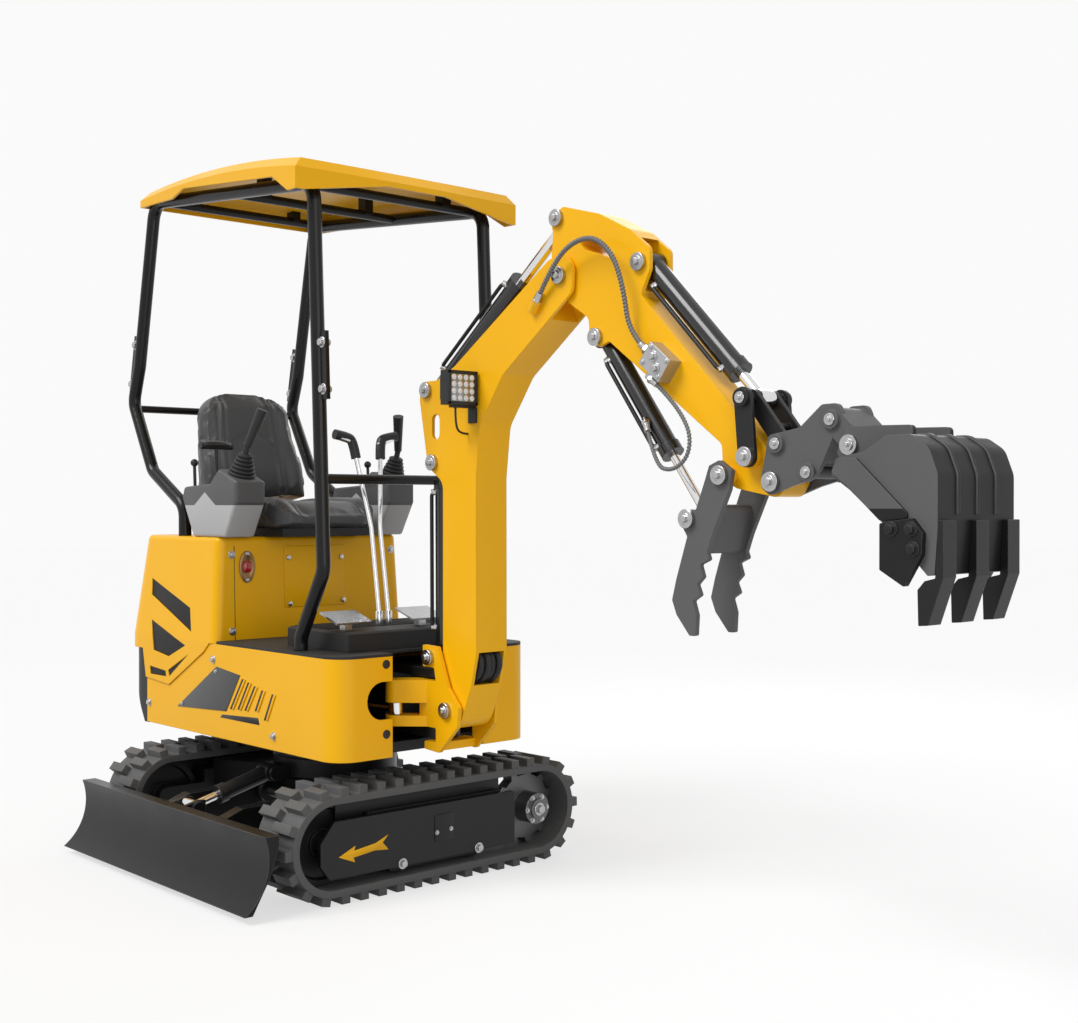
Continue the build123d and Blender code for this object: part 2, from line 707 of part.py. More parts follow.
def canopy_frame():
    frame = []
    for side in (-1, 1):
        frame.append(tube([(u, side * post_v, w) for u, w in side_path()], post_r, bend_r))
        plates = (post_plate(front_post_bend, front_post_top, front_joint_z, 1),
                  post_plate(rear_post_joint, rear_post_top, rear_joint_z, -1))
        frame += [Pos(0, side * post_v, 0) * plate for plate in plates]
    rail_share = (rail_z - front_post_bend[1]) / (front_post_top[1] - front_post_bend[1])
    bar_share = (rear_bar_z - rear_post_knee[1]) / (rear_post_bend[1] - rear_post_knee[1])
    frame.append(cross_bar(on_line(front_post_bend, front_post_top, rail_share), rail_r))
    frame.append(cross_bar(on_line(rear_post_knee, rear_post_bend, bar_share), rear_bar_r))
    inside = roof_block(roof_wall, fascia_front)
    for u in roof_bar_us:
        share = (u - front_post_top[0]) / (rear_post_top[0] - front_post_top[0])
        place = on_line(front_post_top, rear_post_top, share)
        frame.append(cross_bar(place, rail_r))
        for v in (-roof_pad_v, roof_pad_v):
            frame.append(block((u - 20, u + 20), (v - 15, v + 15), (place[1], place[1] + 200)) & inside)
    return frame[0] + frame[1:]


def roof_plan(inset):
    half, rear_half = roof_half - inset, roof_rear_half - inset
    front, corner, rear = roof_front - inset, roof_corner_u - inset, roof_rear + inset
    return polygon([(rear, -rear_half), (corner, -half), (front, -roof_edge_half), (front, roof_edge_half),
                    (corner, half), (rear, rear_half)])


def roof_block(inset, low):
    ends = ((roof_front, roof_top_front - inset), (roof_rear, roof_top_rear - inset))
    top = ThreePointArc(ends[0], (roof_top_mid_u, roof_top_mid - inset), ends[1])
    face = make_face(top + Polyline(ends[1], (roof_rear, low), (roof_front, low), ends[0]))
    solid = slab(face, -roof_half, roof_half) & column(roof_plan(inset), low, roof_top_rear + roof_half)
    return chamfer(solid.faces().sort_by(Axis.Z)[-1].edges(), roof_bevel)


def canopy_roof():
    low = fascia_front
    shell = roof_block(0, low) - roof_block(roof_wall, low - 1)
    drop = fascia_arch_front[0] + 86
    below = polygon([(roof_rear - 1, low - 1), (roof_rear - 1, fascia_rear_low), fascia_rear,
                     fascia_arch_rear,
                     fascia_arch_front, (drop, low), (drop, low - 1)])
    shell -= slab(below, -roof_half, roof_half)
    reach = roof_half - 4 * roof_wall
    nose = polygon([(-reach, low - 1), (reach, low - 1), (reach, low), (roof_edge_half, fascia_nose),
                    (-roof_edge_half, fascia_nose), (-reach, low)])
    return shell - extrude(Plane.YZ.offset(drop) * nose, amount=roof_front - drop + 1)


# Swing bracket
def swing_bracket():
    hub_low, hub_high = ear_low[1] + hub_play, ear_high[0] - hub_play
    lobe = ear_high[1] + 8
    side = rounded([(kingpin_u + 8, lobe), (kingpin_u + 58, lobe), (kingpin_u + 66, hub_high),
                    (kingpin_u - 8, hub_high),
                    (kingpin_u - 8, hub_low), (kingpin_u + 66, hub_low),
                    (kingpin_u + 66, ear_low[0] - hub_play),
                    (kingpin_u + 15, ear_low[0] - hub_play), (kingpin_u + 15, 392), (kingpin_u + 80, 388),
                    shifted(boom_foot, 50, -42), shifted(boom_foot, 56, 12), shifted(boom_foot, 8, 62),
                    shifted(boom_cyl_base, 38, 32), shifted(boom_cyl_base, -28, 34)], 5)
    bracket = both_sides(side, bracket_inner, bracket_outer)
    bracket += column(disc((kingpin_u, 0), hub_r), hub_low, hub_high)
    bracket += block((kingpin_u, kingpin_u + 46), (-bracket_outer, bracket_outer), (hub_low, hub_high))
    bracket += block((kingpin_u + 15, kingpin_u + 76), (-bracket_inner, bracket_inner),
                     (392, ear_low[0] - hub_play))
    lever = make_hull((disc(shifted((kingpin_u, 0), *lever_pin), lever_r) + disc((kingpin_u + 10, -40),
                                                                                 34)).edges())
    bracket += column(lever, hub_low, lever_z - lever_gap / 2) + column(lever, lever_z + lever_gap / 2,
                                                                        hub_high)
    bracket -= Pos(kingpin_u, 0, lever_z) * Cylinder(kingpin_r + pin_fit, 400)
    bracket += cross_pin(boom_foot, pin_r + 4, bracket_outer) + pin_heads(boom_foot, bracket_outer)
    bracket += cross_pin(boom_cyl_base, pin_r, bracket_outer) + pin_heads(boom_cyl_base, bracket_outer)
    return bracket


# Boom
def boom():
    u, w = boom_foot
    outline = rounded([(u - 34, w + 630), (u - 102, w + 675), (u - 139, w + 864), (u - 132, w + 915),
                       (u - 60, w + 915), (u + 18, w + 949), shifted(boom_tip, -40, 46),
                       shifted(boom_tip, 50, 46),
                       shifted(boom_tip, 44, -46), (u + 220, w + 912), (u + 126, w + 783), (u + 109, w + 640),
                       (u + 110, w + 160), (u + 86, w + 63), (u + 40, w - 40), (u - 34, w - 40)],
                      [40, 25, 20, 25, 30, 30, 30, 40, 30, 60, 60, 60, 60, 30, 30, 20])
    solid = slab(outline + disc(boom_foot, 52), -boom_half, boom_half)
    gap = boom_half - boom_plate
    rear = polygon([(u - 200, w + 600), (u - 10, w + 600), (u - 10, w + 780), (u + 20, w + 930),
                    (u - 60, w + 990),
                    (u - 200, w + 990)])
    fork = polygon([shifted(boom_tip, -90, 120), shifted(boom_tip, -75, -10), shifted(boom_tip, -40, -110),
                    shifted(boom_tip, 150, -110), shifted(boom_tip, 150, 120)])
    back = polygon([(u - 60, w + 120), (u - 24, w + 120), (u - 24, w + 640), (u - 60, w + 640)])
    room, reach = arm_cyl[0] + gland_lip + side_play, arm_cyl[2] + 20
    trough = polygon([beside(arm_cyl_base, arm_cyl_dip, *place) for place in
                      ((-60, -room), (reach, -room), (reach, 200), (-60, 200))])
    for cut in (rear, back, trough):
        solid -= slab(cut, -gap, gap)
    fork_half = arm_half + side_play
    solid -= slab(fork, -fork_half, fork_half)
    slot = bar((u - 66, w + 767), (u - 66, w + 804), 17)
    solid -= slab(slot, -2 * boom_half, 2 * boom_half)
    cavity = rounded([(u + 30, w + 75), (u + 150, w + 75), (u + 150, w + 165), (u + 60, w + 165)], 20)
    solid -= slab(cavity, -gap, gap)
    solid -= cross_pin(boom_foot, pin_r + 4 + pin_fit, 2 * boom_half)
    solid += cross_pin(boom_tip, pin_r + 2, boom_half) + pin_heads(boom_tip, boom_half)
    solid += cross_pin(arm_cyl_base, pin_r, boom_half) + pin_heads(arm_cyl_base, boom_half)
    return solid + pin_heads(boom_cyl_eye, boom_half) + boom_port()


def work_lamp():
    depth, width, height = lamp_size
    u, w = lamp_place
    v = -boom_half - lamp_gap - width / 2
    low = w - height / 2
    case = Pos(u, v, w) * Box(depth, width, height)
    case = chamfer(case.faces().sort_by(Axis.X)[0].edges(), lamp_edge)
    strap = block((u - 12, u + 12), (v - 20, -boom_half), (low - lamp_strap, low))
    tab = block((u - 16, u + 16), (-boom_half - lamp_gap, -boom_half), (low - 46, low - lamp_strap))
    u, v, w = lamp_cable_start()
    return case + strap + tab + Pos(u, v) * column(Circle(cable_d), w, w + 2 * lamp_edge)


def lamp_cable_start():
    u, w = lamp_place
    depth, width, height = lamp_size
    return u - depth / 2 + lamp_edge / 2, -boom_half - width / 2, w - height / 2 - lamp_strap


def valve_point(forward, up):
    turn = radians(valve_turn)
    u = valve_place[0] + forward * cos(turn) - up * sin(turn)
    return u, -arm_half - valve_size[1] / 2, valve_place[1] + forward * sin(turn) + up * cos(turn)


def valve_block():
    length, _, height = valve_size
    place = Pos(*valve_point(0, 0)) * Rot(0, -valve_turn, 0)
    drop = -height / 2 - elbow_drop
    solid = place * Box(*valve_size)
    solid += stub(valve_point(0, 0), valve_point(-length / 2 - ferrule, 0), hose_d / 2 + 2)
    solid += stub(valve_point(elbow_at, 0), valve_point(elbow_at, drop - thin_hose_d / 2),
                  thin_hose_d / 2 + 2)
    return solid + stub(valve_point(elbow_at, drop), valve_point(elbow_at + ferrule, drop),
                        thin_hose_d / 2 + 2)


# Hoses and cable: straight runs joined by arcs as large as the runs allow
def arc_radii(points):
    radii = []
    for before, corner, after in zip(points, points[1:], points[2:]):
        arriving, leaving = Vector(*corner) - Vector(*before), Vector(*after) - Vector(*corner)
        half_turn = radians(arriving.get_angle(leaving) / 2)
        radii.append(0.45 * min(arriving.length, leaving.length) * cos(half_turn) / sin(half_turn))
    return radii


def hose(name, points, diameter):
    radii = arc_radii(points)
    print(name, "radii", [round(radius) for radius in radii])
    path = FilletPolyline(*points, radius=radii)
    return sweep(Plane(path @ 0, z_dir=path % 0) * Circle(diameter / 2), path=path)


def stub(start, end, radius):
    way = Vector(*end) - Vector(*start)
    return extrude(Plane(start, z_dir=way) * Circle(radius), amount=way.length)


def arm_hose_route():
    u, w = boom_tip
    rear = -valve_size[0] / 2 - ferrule
    side = -boom_half - hose_d / 2 - 4
    return [(u - 73, side, w - 56), (u - 19, side - 12, w + 3), (u + 57, side - 20, w + 65),
            (u + 149, side - 20, w + 79), (u + 219, side - 18, w + 25), (u + 251, side - 14, w - 65),
            valve_point(rear - 70, 0), valve_point(rear, 0)]


def boom_port():
    start, after = [Vector(*point) for point in arm_hose_route()[:2]]
    way = (start - after).normalized()
    return stub(start + way * 2 * ferrule, start, hose_d / 2 + 6)


def thumb_hose_route():
    u, w = valve_place
    drop = -valve_size[2] / 2 - elbow_drop
    return [valve_point(elbow_at + ferrule, drop), valve_point(elbow_at + ferrule + 54, drop),
            (u + 81, -72, w - 128), (u + 111, -76, w - 178), (u + 100, -76, w - 230), (u + 46, -72, w - 258),
            (u - 14, -62, w - 242)]


def thumb_port_ends():
    root = Vector(thumb_cyl_base[0] + 156, -thumb_cyl[0] - 5, thumb_cyl_base[1] - 209)
    way = Vector(*thumb_hose_route()[-1]) - root
    return root, root + way.normalized() * ferrule


def thumb_port():
    return stub(*thumb_port_ends(), thin_hose_d / 2 + 3)


def lamp_cable_route():
    u, v, w = lamp_cable_start()
    return [(u, v, w), (u, v, w - 42), (u - 8, -boom_half - 30, w - 68), (u - 8, -boom_half, w - 68)]


# Arm
def arm():
    tip = boom_tip
    outline = rounded([shifted(arm_cyl_eye, -27, 8), shifted(arm_cyl_eye, 22, 26), shifted(tip, 128, 140),
                       shifted(tip, 232, 88), shifted(bucket_cyl_base, 34, 30),
                       shifted(bucket_cyl_base, 34, -22),
                       shifted(bucket_cyl_base, 4, -80), shifted(arm_end, -110, 155), shifted(arm_end, 6, 40),
                       shifted(arm_end, 36, 8), shifted(arm_end, 8, -36), shifted(thumb_pivot, 20, -30),
                       shifted(thumb_pivot, -20, -10), shifted(thumb_pivot, -25, 72),
                       shifted(thumb_cyl_base, 45, -14),
                       shifted(thumb_cyl_base, 2, -28), shifted(thumb_cyl_base, -24, 12),
                       shifted(tip, 90, -115),
                       shifted(tip, -20, -46), shifted(tip, -50, 10), shifted(arm_cyl_eye, -16, -40)],
                      [16, 16, 60, 60, 22, 22, 14, 30, 16, 24, 24, 18, 14, 20, 12, 18, 14, 20, 30, 30, 12])
    solid = slab(outline + disc(tip, 46), -arm_half, arm_half)
    window = rounded([shifted(tip, 57, 79), shifted(tip, 75, 58), shifted(tip, 171, 25),
                      shifted(tip, 178, 37),
                      shifted(tip, 146, 66), shifted(tip, 93, 85)], 6)
    solid -= slab(window, -2 * arm_half, 2 * arm_half)
    gap = eye_half + ear_play
    solid -= slab(polygon([shifted(arm_cyl_eye, -80, 60), shifted(arm_cyl_eye, -80, -75),
                           shifted(arm_cyl_eye, 10, -45),
                           shifted(arm_cyl_eye, 45, 0), shifted(arm_cyl_eye, 50, 60)]), -gap, gap)
    solid -= slab(polygon([shifted(bucket_cyl_base, -50, 60), shifted(bucket_cyl_base, -40, -10),
                           shifted(bucket_cyl_base, -10, -50), shifted(bucket_cyl_base, 30, -90),
                           shifted(bucket_cyl_base, 90, -60), shifted(bucket_cyl_base, 90, 60)]), -gap, gap)
    solid -= slab(polygon([shifted(thumb_cyl_base, -60, -60), shifted(thumb_cyl_base, -45, 20),
                           shifted(thumb_cyl_base, -5, 40), shifted(thumb_cyl_base, 35, 25),
                           shifted(thumb_cyl_base, 80, -20), shifted(thumb_cyl_base, 80, -80)]), -gap, gap)
    solid -= cross_pin(tip, pin_r + 2 + pin_fit, 2 * arm_half)
    for point in (bucket_cyl_base, thumb_cyl_base):
        solid += cross_pin(point, pin_r, arm_half) + pin_heads(point, arm_half)
    solid += pin_heads(arm_cyl_eye, arm_half)
    for point, inner, outer in ((rocker_foot, rocker_inner, rocker_outer),
                                (thumb_pivot, thumb_inner, thumb_outer)):
        solid += cross_pin(point, pin_head_r, inner - 1) + cross_pin(point, pin_r, outer) + pin_heads(point,
                                                                                                      outer)
    return solid + cross_pin(arm_end, pin_r, coupler_outer) + pin_heads(arm_end, coupler_outer)


# Bucket linkage
def rocker():
    face = bar(rocker_foot, rocker_top, 24) - disc(rocker_foot, pin_r + pin_fit)
    links = both_sides(face, rocker_inner, rocker_outer)
    links += both_sides(disc(rocker_top, pin_r), link_inner, rocker_outer)
    return links + pin_heads(rocker_top, rocker_outer)


def h_link():
    face = bar(rocker_top, link_eye, 20) - disc(rocker_top, pin_r + pin_fit)
    links = both_sides(face, link_inner, link_outer)
    middle = ((rocker_top[0] + link_eye[0]) / 2 + 8, (rocker_top[1] + link_eye[1]) / 2 - 12)
    links += slab(disc(middle, 9), -link_inner, link_inner)
    return links + slab(disc(link_eye, 16), -link_outer, link_outer)


def coupler():
    end = arm_end
    outline = rounded([shifted(end, -30, 8), shifted(end, -14, 82), shifted(end, -11, 102),
                       shifted(end, 76, 116),
                       shifted(end, 134, 163), shifted(end, 176, 164), shifted(end, 188, 140),
                       shifted(end, 129, 25),
                       shifted(end, 109, 4), shifted(end, 50, -11), shifted(end, -5, -30),
                       shifted(end, -28, -15)],
                      [14, 20, 14, 30, 16, 16, 16, 20, 20, 30, 16, 12])
    face = outline - disc(end, pin_r + pin_fit)
    solid = both_sides(face, coupler_inner, coupler_outer)
    solid += slab(bar(shifted(end, 112, 52), shifted(end, 140, 100), 16), -coupler_inner, coupler_inner)
    for point in (latch_pin, hitch_pin):
        solid += cross_pin(point, pin_r, coupler_outer) + pin_heads(point, coupler_outer)
    solid += slab(bar(latch_pin, bucket_pin, 26), -coupler_outer, coupler_outer)
    solid += pin_heads(link_eye, coupler_outer)
    return solid - cross_pin(bucket_pin, pin_r + axle_fit, 200)


# Bucket
def bucket_side():
    end = arm_end
    return rounded([shifted(end, 218, 11), shifted(end, 265, -20), shifted(end, 348, -90),
                    shifted(end, 447, -188),
                    shifted(end, 462, -185), shifted(end, 469, -95), shifted(end, 469, 10),
                    shifted(end, 449, 62),
                    shifted(end, 409, 88), shifted(end, 352, 88), shifted(end, 296, 55),
                    shifted(end, 262, 51),
                    shifted(end, 232, 45)], [12, 30, 30, 3, 3, 40, 40, 40, 30, 30, 20, 12, 14])


def bucket():
    end = arm_end
    side = bucket_side()
    inner = bucket_half - bucket_sheet
    solid = both_sides(side, inner, bucket_half)
    core = offset(side, amount=-bucket_sheet)
    mouth = polygon([shifted(end, 150, 24), shifted(end, 240, 24), shifted(end, 437, -146),
                     shifted(end, 419, -190), shifted(end, 150, -100)])
    solid += slab(side - core - mouth, -inner, inner)
    lip = polygon([shifted(end, 434, -200), shifted(end, 497, -200), shifted(end, 497, -120),
                   shifted(end, 450, -120)])
    solid += slab(lip & side, -inner, inner)
    ear = rounded([shifted(bucket_pin, -34, -20), shifted(bucket_pin, 0, -38), shifted(end, 296, 52),
                   shifted(end, 370, 84), shifted(end, 370, 110), shifted(bucket_pin, 60, 38),
                   shifted(bucket_pin, -10, 38)], 10)
    solid += both_sides(ear - disc(bucket_pin, pin_r + axle_fit), bucket_ear_inner, bucket_ear_outer)
    height, width = bucket_rib
    back = polygon([shifted(end, 380, 30), shifted(end, 380, 160), shifted(end, 540, 160),
                    shifted(end, 540, -70), shifted(end, 450, -70)])
    rib = (offset(side, amount=height) - core) & back
    for v in bucket_rib_vs:
        solid += slab(rib, v - width / 2, v + width / 2)
    strip = rounded([shifted(end, 222, 16), shifted(end, 244, 44), shifted(end, 284, 44),
                     shifted(end, 415, -76),
                     shifted(end, 341, -82), shifted(end, 264, -14)], 8)
    solid += both_sides(strip, inner, bucket_half + bucket_strip)
    cutter = rounded([shifted(end, 346, -87), shifted(end, 419, -76), shifted(end, 444, -105),
                      shifted(end, 442, -147), shifted(end, 403, -211), shifted(end, 346, -179)], 4)
    return solid + both_sides(cutter, bucket_half, bucket_half + cutter_thickness)


def bucket_pin_bar():
    return cross_pin(bucket_pin, pin_r, bucket_ear_outer) + pin_heads(bucket_pin, bucket_ear_outer)


def tooth():
    end = arm_end
    return slab(rounded([shifted(end, 470.3, -80), shifted(end, 482, -80), shifted(end, 482, -190),
                         shifted(end, 448, -284), shifted(end, 426, -286), shifted(end, 424, -216),
                         shifted(end, 440, -198), shifted(end, 463.3, -192)], 2), -tooth_width / 2,
                tooth_width / 2)


def bucket_teeth():
    return [Pos(0, side * tooth_spacing, 0) * tooth() for side in (-1, 0, 1)]


# Thumb
def thumb():
    p = thumb_pivot
    finger = rounded([shifted(p, -4, 34), shifted(p, 33, 10), shifted(p, 25, -33), shifted(p, -24, -134),
                      shifted(p, -40, -176), shifted(p, -34, -192), shifted(p, -62, -204),
                      shifted(p, -52, -232),
                      shifted(p, -71, -250), shifted(p, -60, -274), shifted(p, -83, -288),
                      shifted(p, -72, -320),
                      shifted(p, -75, -368), shifted(p, -93, -368), shifted(p, -133, -322),
                      shifted(p, -147, -288),
                      shifted(p, -134, -240), shifted(p, -100, -140), shifted(thumb_eye, -20, -14),
                      shifted(thumb_eye, -12, 22), shifted(thumb_eye, 24, 20), shifted(p, -46, -10),
                      shifted(p, -34, 22)], 5)
    solid = both_sides(finger - disc(p, pin_r + pin_fit), thumb_inner, thumb_outer)
    web = bar(shifted(p, -30, -75), shifted(p, -58, -170), 9)
    solid += slab(web, -thumb_inner, thumb_inner)
    return solid + pin_heads(thumb_eye, thumb_outer)


def swing_pair():
    eye = shifted((kingpin_u, 0), *lever_pin)
    half = lever_gap / 2 - 2
    return (swung(barrel(swing_cyl, eye_half, pin_r), swing_base, eye, lever_z),
            swung(rod(swing_cyl, distance(swing_base, eye), half), swing_base, eye, lever_z))


def main():
    ground = {
        "track_left": Pos(0, track_y, 0) * track(),
        "sprockets": left_and_right(sprocket()),
        "idlers": left_and_right(idler()),
        "rollers": [part for wheel in rollers() for part in left_and_right(wheel)],
        "track_frame": track_frame(),
        "blade": blade(),
    }
    ground["track_right"] = Pos(0, -2 * track_y, 0) * ground["track_left"]
    half = eye_half
    ground["blade_barrel"], ground["blade_rod"] = cylinder_pair(
        blade_cyl, blade_cyl_base, blade_cyl_eye, half, half)

    upper = {
        "upper_frame": upper_frame(),
        "skirt": skirt(),
        "cowl": cowl(),
        "counterweight": counterweight(),
        "engine": engine(),
        "floor_deck": floor_deck(),
        "floor_box": floor_box(),
        "seat_cushion": seat_cushion(),
        "seat_back": seat_back(),
        "seat_base": seat_base(),
        "console_right": Pos(0, -console_v, 0) * console(),
        "console_left": Pos(0, console_v, 0) * console(),
        "hand_controls": hand_controls(),
        "travel_levers": travel_levers(),
        "pedals": pedals(),
        "canopy_frame": canopy_frame(),
        "canopy_roof": canopy_roof(),
        "swing_bracket": swing_bracket(),
        "boom": boom(),
        "work_lamp": work_lamp(),
        "lamp_cable": hose("lamp cable", lamp_cable_route(), cable_d),
        "arm_hose": hose("arm hose", arm_hose_route(), hose_d),
        "thumb_hose": hose("thumb hose", [*thumb_hose_route(), tuple(thumb_port_ends()[1])], thin_hose_d),
        "arm": arm(),
        "valve_block": valve_block(),
        "rocker": rocker(),
        "h_link": h_link(),
        "coupler": coupler(),
        "bucket": bucket(),
        "bucket_pin": bucket_pin_bar(),
        "bucket_teeth": bucket_teeth(),
        "thumb": thumb(),
    }
    upper["swing_barrel"], upper["swing_rod"] = swing_pair()
    pairs = {
        "boom": (boom_cyl, boom_cyl_base, boom_cyl_eye, half, half),
        "arm": (arm_cyl, arm_cyl_base, arm_cyl_eye, half, half),
        "bucket": (bucket_cyl, bucket_cyl_base, rocker_top, half, link_inner - 3),
        "thumb": (thumb_cyl, thumb_cyl_base, thumb_eye, half, thumb_inner - 4),
    }
    for name, values in pairs.items():
        upper[name + "_barrel"], upper[name + "_rod"] = cylinder_pair(*values)
    upper["thumb_barrel"] += thumb_port()

    turn = Rot(0, 0, slew_at_rest)
    os.makedirs("parts", exist_ok=True)
    for name, part in ground.items():
        write(name, part, Pos(0, 0, 0))
    for name, part in upper.items():
        write(name, part, turn)


def write(name, part, turn):
    solids = part if isinstance(part, list) else [part]
    placed = [turn * solid for piece in solids for solid in piece.solids()]
    shape = placed[0] if len(placed) == 1 else Compound(children=placed)
    export_step(shape, os.path.join("parts", name + ".step"))


main()
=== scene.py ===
import bpy
import json
import math
from mathutils import Matrix, Vector


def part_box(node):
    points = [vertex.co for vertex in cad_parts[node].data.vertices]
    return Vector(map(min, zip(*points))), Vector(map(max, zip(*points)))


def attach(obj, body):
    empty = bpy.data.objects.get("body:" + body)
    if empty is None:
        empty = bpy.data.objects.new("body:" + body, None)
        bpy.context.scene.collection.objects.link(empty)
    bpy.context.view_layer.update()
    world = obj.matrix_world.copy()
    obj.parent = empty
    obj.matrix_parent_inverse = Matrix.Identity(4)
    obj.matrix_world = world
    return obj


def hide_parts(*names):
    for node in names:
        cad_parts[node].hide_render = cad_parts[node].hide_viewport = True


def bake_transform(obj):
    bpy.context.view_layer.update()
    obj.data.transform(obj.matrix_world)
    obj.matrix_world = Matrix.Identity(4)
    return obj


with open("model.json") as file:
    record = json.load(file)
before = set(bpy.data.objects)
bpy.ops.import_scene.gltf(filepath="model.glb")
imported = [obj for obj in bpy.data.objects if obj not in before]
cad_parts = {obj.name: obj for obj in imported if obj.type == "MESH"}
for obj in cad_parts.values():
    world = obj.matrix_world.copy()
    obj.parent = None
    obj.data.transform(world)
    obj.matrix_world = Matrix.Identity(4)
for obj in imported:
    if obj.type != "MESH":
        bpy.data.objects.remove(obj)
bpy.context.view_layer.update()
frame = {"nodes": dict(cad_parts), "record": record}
nodes = frame["nodes"]
print("frame loaded with", len(nodes), "nodes")


# small tools for modelling by operators
def clearSelection():
    if bpy.context.mode != "OBJECT":
        bpy.ops.object.mode_set(mode="OBJECT")
    bpy.ops.object.select_all(action="DESELECT")


def pick(piece):
    clearSelection()
    piece.select_set(True)
    bpy.context.view_layer.objects.active = piece


def applyModifiers(piece):
    pick(piece)
    for modifier in list(piece.modifiers):
        bpy.ops.object.modifier_apply(modifier=modifier.name)


def cleanShell(piece, merge=0.00002):
    pick(piece)
    bpy.ops.object.mode_set(mode="EDIT")
    bpy.ops.mesh.select_all(action="SELECT")
    bpy.ops.mesh.remove_doubles(threshold=merge)
    bpy.ops.mesh.normals_make_consistent(inside=False)
    bpy.ops.object.mode_set(mode="OBJECT")


def smoothByAngle(piece, degrees=35):
    pick(piece)
    bpy.ops.object.shade_smooth_by_angle(angle=math.radians(degrees))


def roundEdges(piece, width, segments=2, angle=40):
    bevel = piece.modifiers.new("edges", "BEVEL")
    bevel.width = width
    bevel.segments = segments
    bevel.limit_method = "ANGLE"
    bevel.angle_limit = math.radians(angle)
    applyModifiers(piece)
    smoothByAngle(piece)


def addBlock(name, low, high, edge=0.002):
    clearSelection()
    centre = [(a + b) / 2 for a, b in zip(low, high)]
    bpy.ops.mesh.primitive_cube_add(size=1, location=centre)
    piece = bpy.context.object
    piece.name = name
    piece.scale = [b - a for a, b in zip(low, high)]
    bpy.ops.object.transform_apply(location=True, rotation=True, scale=True)
    roundEdges(piece, edge)
    return piece


def addPlate(name, corners, push, edge=0.0008):
    clearSelection()
    bpy.ops.mesh.primitive_circle_add(vertices=len(corners), fill_type="NGON")
    piece = bpy.context.object
    piece.name = name
    for vertex, corner in zip(piece.data.vertices, corners):
        vertex.co = corner
    bpy.ops.object.mode_set(mode="EDIT")
    bpy.ops.mesh.select_all(action="SELECT")
    bpy.ops.mesh.extrude_region_move(TRANSFORM_OT_translate={"value": push})
    bpy.ops.object.mode_set(mode="OBJECT")
    cleanShell(piece)
    roundEdges(piece, edge)
    return piece


def addTurned(name, profile, steps=24):
    # profile runs from the axis at the foot to the axis at the top, as radius and height
    clearSelection()
    bpy.ops.mesh.primitive_circle_add(vertices=len(profile), fill_type="NOTHING")
    piece = bpy.context.object
    piece.name = name
    for vertex, (radius, height) in zip(piece.data.vertices, profile):
        vertex.co = (radius, 0, height)
    screw = piece.modifiers.new("turn", "SCREW")
    screw.steps = steps
    screw.render_steps = steps
    screw.use_merge_vertices = True
    screw.merge_threshold = 0.00005
    applyModifiers(piece)
    cleanShell(piece, 0.00005)
    smoothByAngle(piece)
    return piece


def stand(piece, place, axis=(0, 0, 1)):
    turn = Vector(axis).to_track_quat("Z", "Y").to_matrix().to_4x4()
    piece.data.transform(Matrix.Translation(place) @ turn)
    return piece


def copyOf(piece, name):
    twin = piece.copy()
    twin.data = piece.data.copy()
    twin.name = name
    bpy.context.scene.collection.objects.link(twin)
    return twin


def joinAll(name, pieces):
    clearSelection()
    for piece in pieces:
        piece.select_set(True)
    bpy.context.view_layer.objects.active = pieces[0]
    if len(pieces) > 1:
        bpy.ops.object.join()
    whole = bpy.context.view_layer.objects.active
    whole.name = name
    whole.data.name = name
    return whole


def dress(piece, body, finish):
    piece.data.materials.clear()
    piece.data.materials.append(finish)
    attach(piece, body)
    return piece


# shared shader effects
effectLook = {"bevelSamples": 4, "edgeGain": 4.0, "leastUp": 0.15, "noiseSpan": (0.3, 0.7),
              "mottleDetail": 6.0, "grainDetail": 2.0, "dustDetail": 8.0}


def newGroup(name, inputs, outputs):
    group = bpy.data.node_groups.new(name, "ShaderNodeTree")
    for label, value in inputs.items():
        socket = group.interface.new_socket(label, in_out="INPUT", socket_type="NodeSocketFloat")
        socket.default_value = value
    for label, kind in outputs.items():
        group.interface.new_socket(label, in_out="OUTPUT", socket_type=kind)
    return group, group.nodes.new("NodeGroupInput"), group.nodes.new("NodeGroupOutput")


def mathNode(tree, operation, first, second=None):
    node = tree.nodes.new("ShaderNodeMath")
    node.operation = operation
    for socket, value in zip(node.inputs, (first, second)):
        if value is None:
            continue
        if isinstance(value, (int, float)):
            socket.default_value = value
        else:
            tree.links.new(value, socket)
    return node.outputs[0]


def noiseNode(tree, coordinate, scale, detail=4.0):
    noise = tree.nodes.new("ShaderNodeTexNoise")
    noise.inputs["Detail"].default_value = detail
    tree.links.new(coordinate, noise.inputs["Vector"])
    tree.links.new(scale, noise.inputs["Scale"])
    return noise.outputs["Fac"]


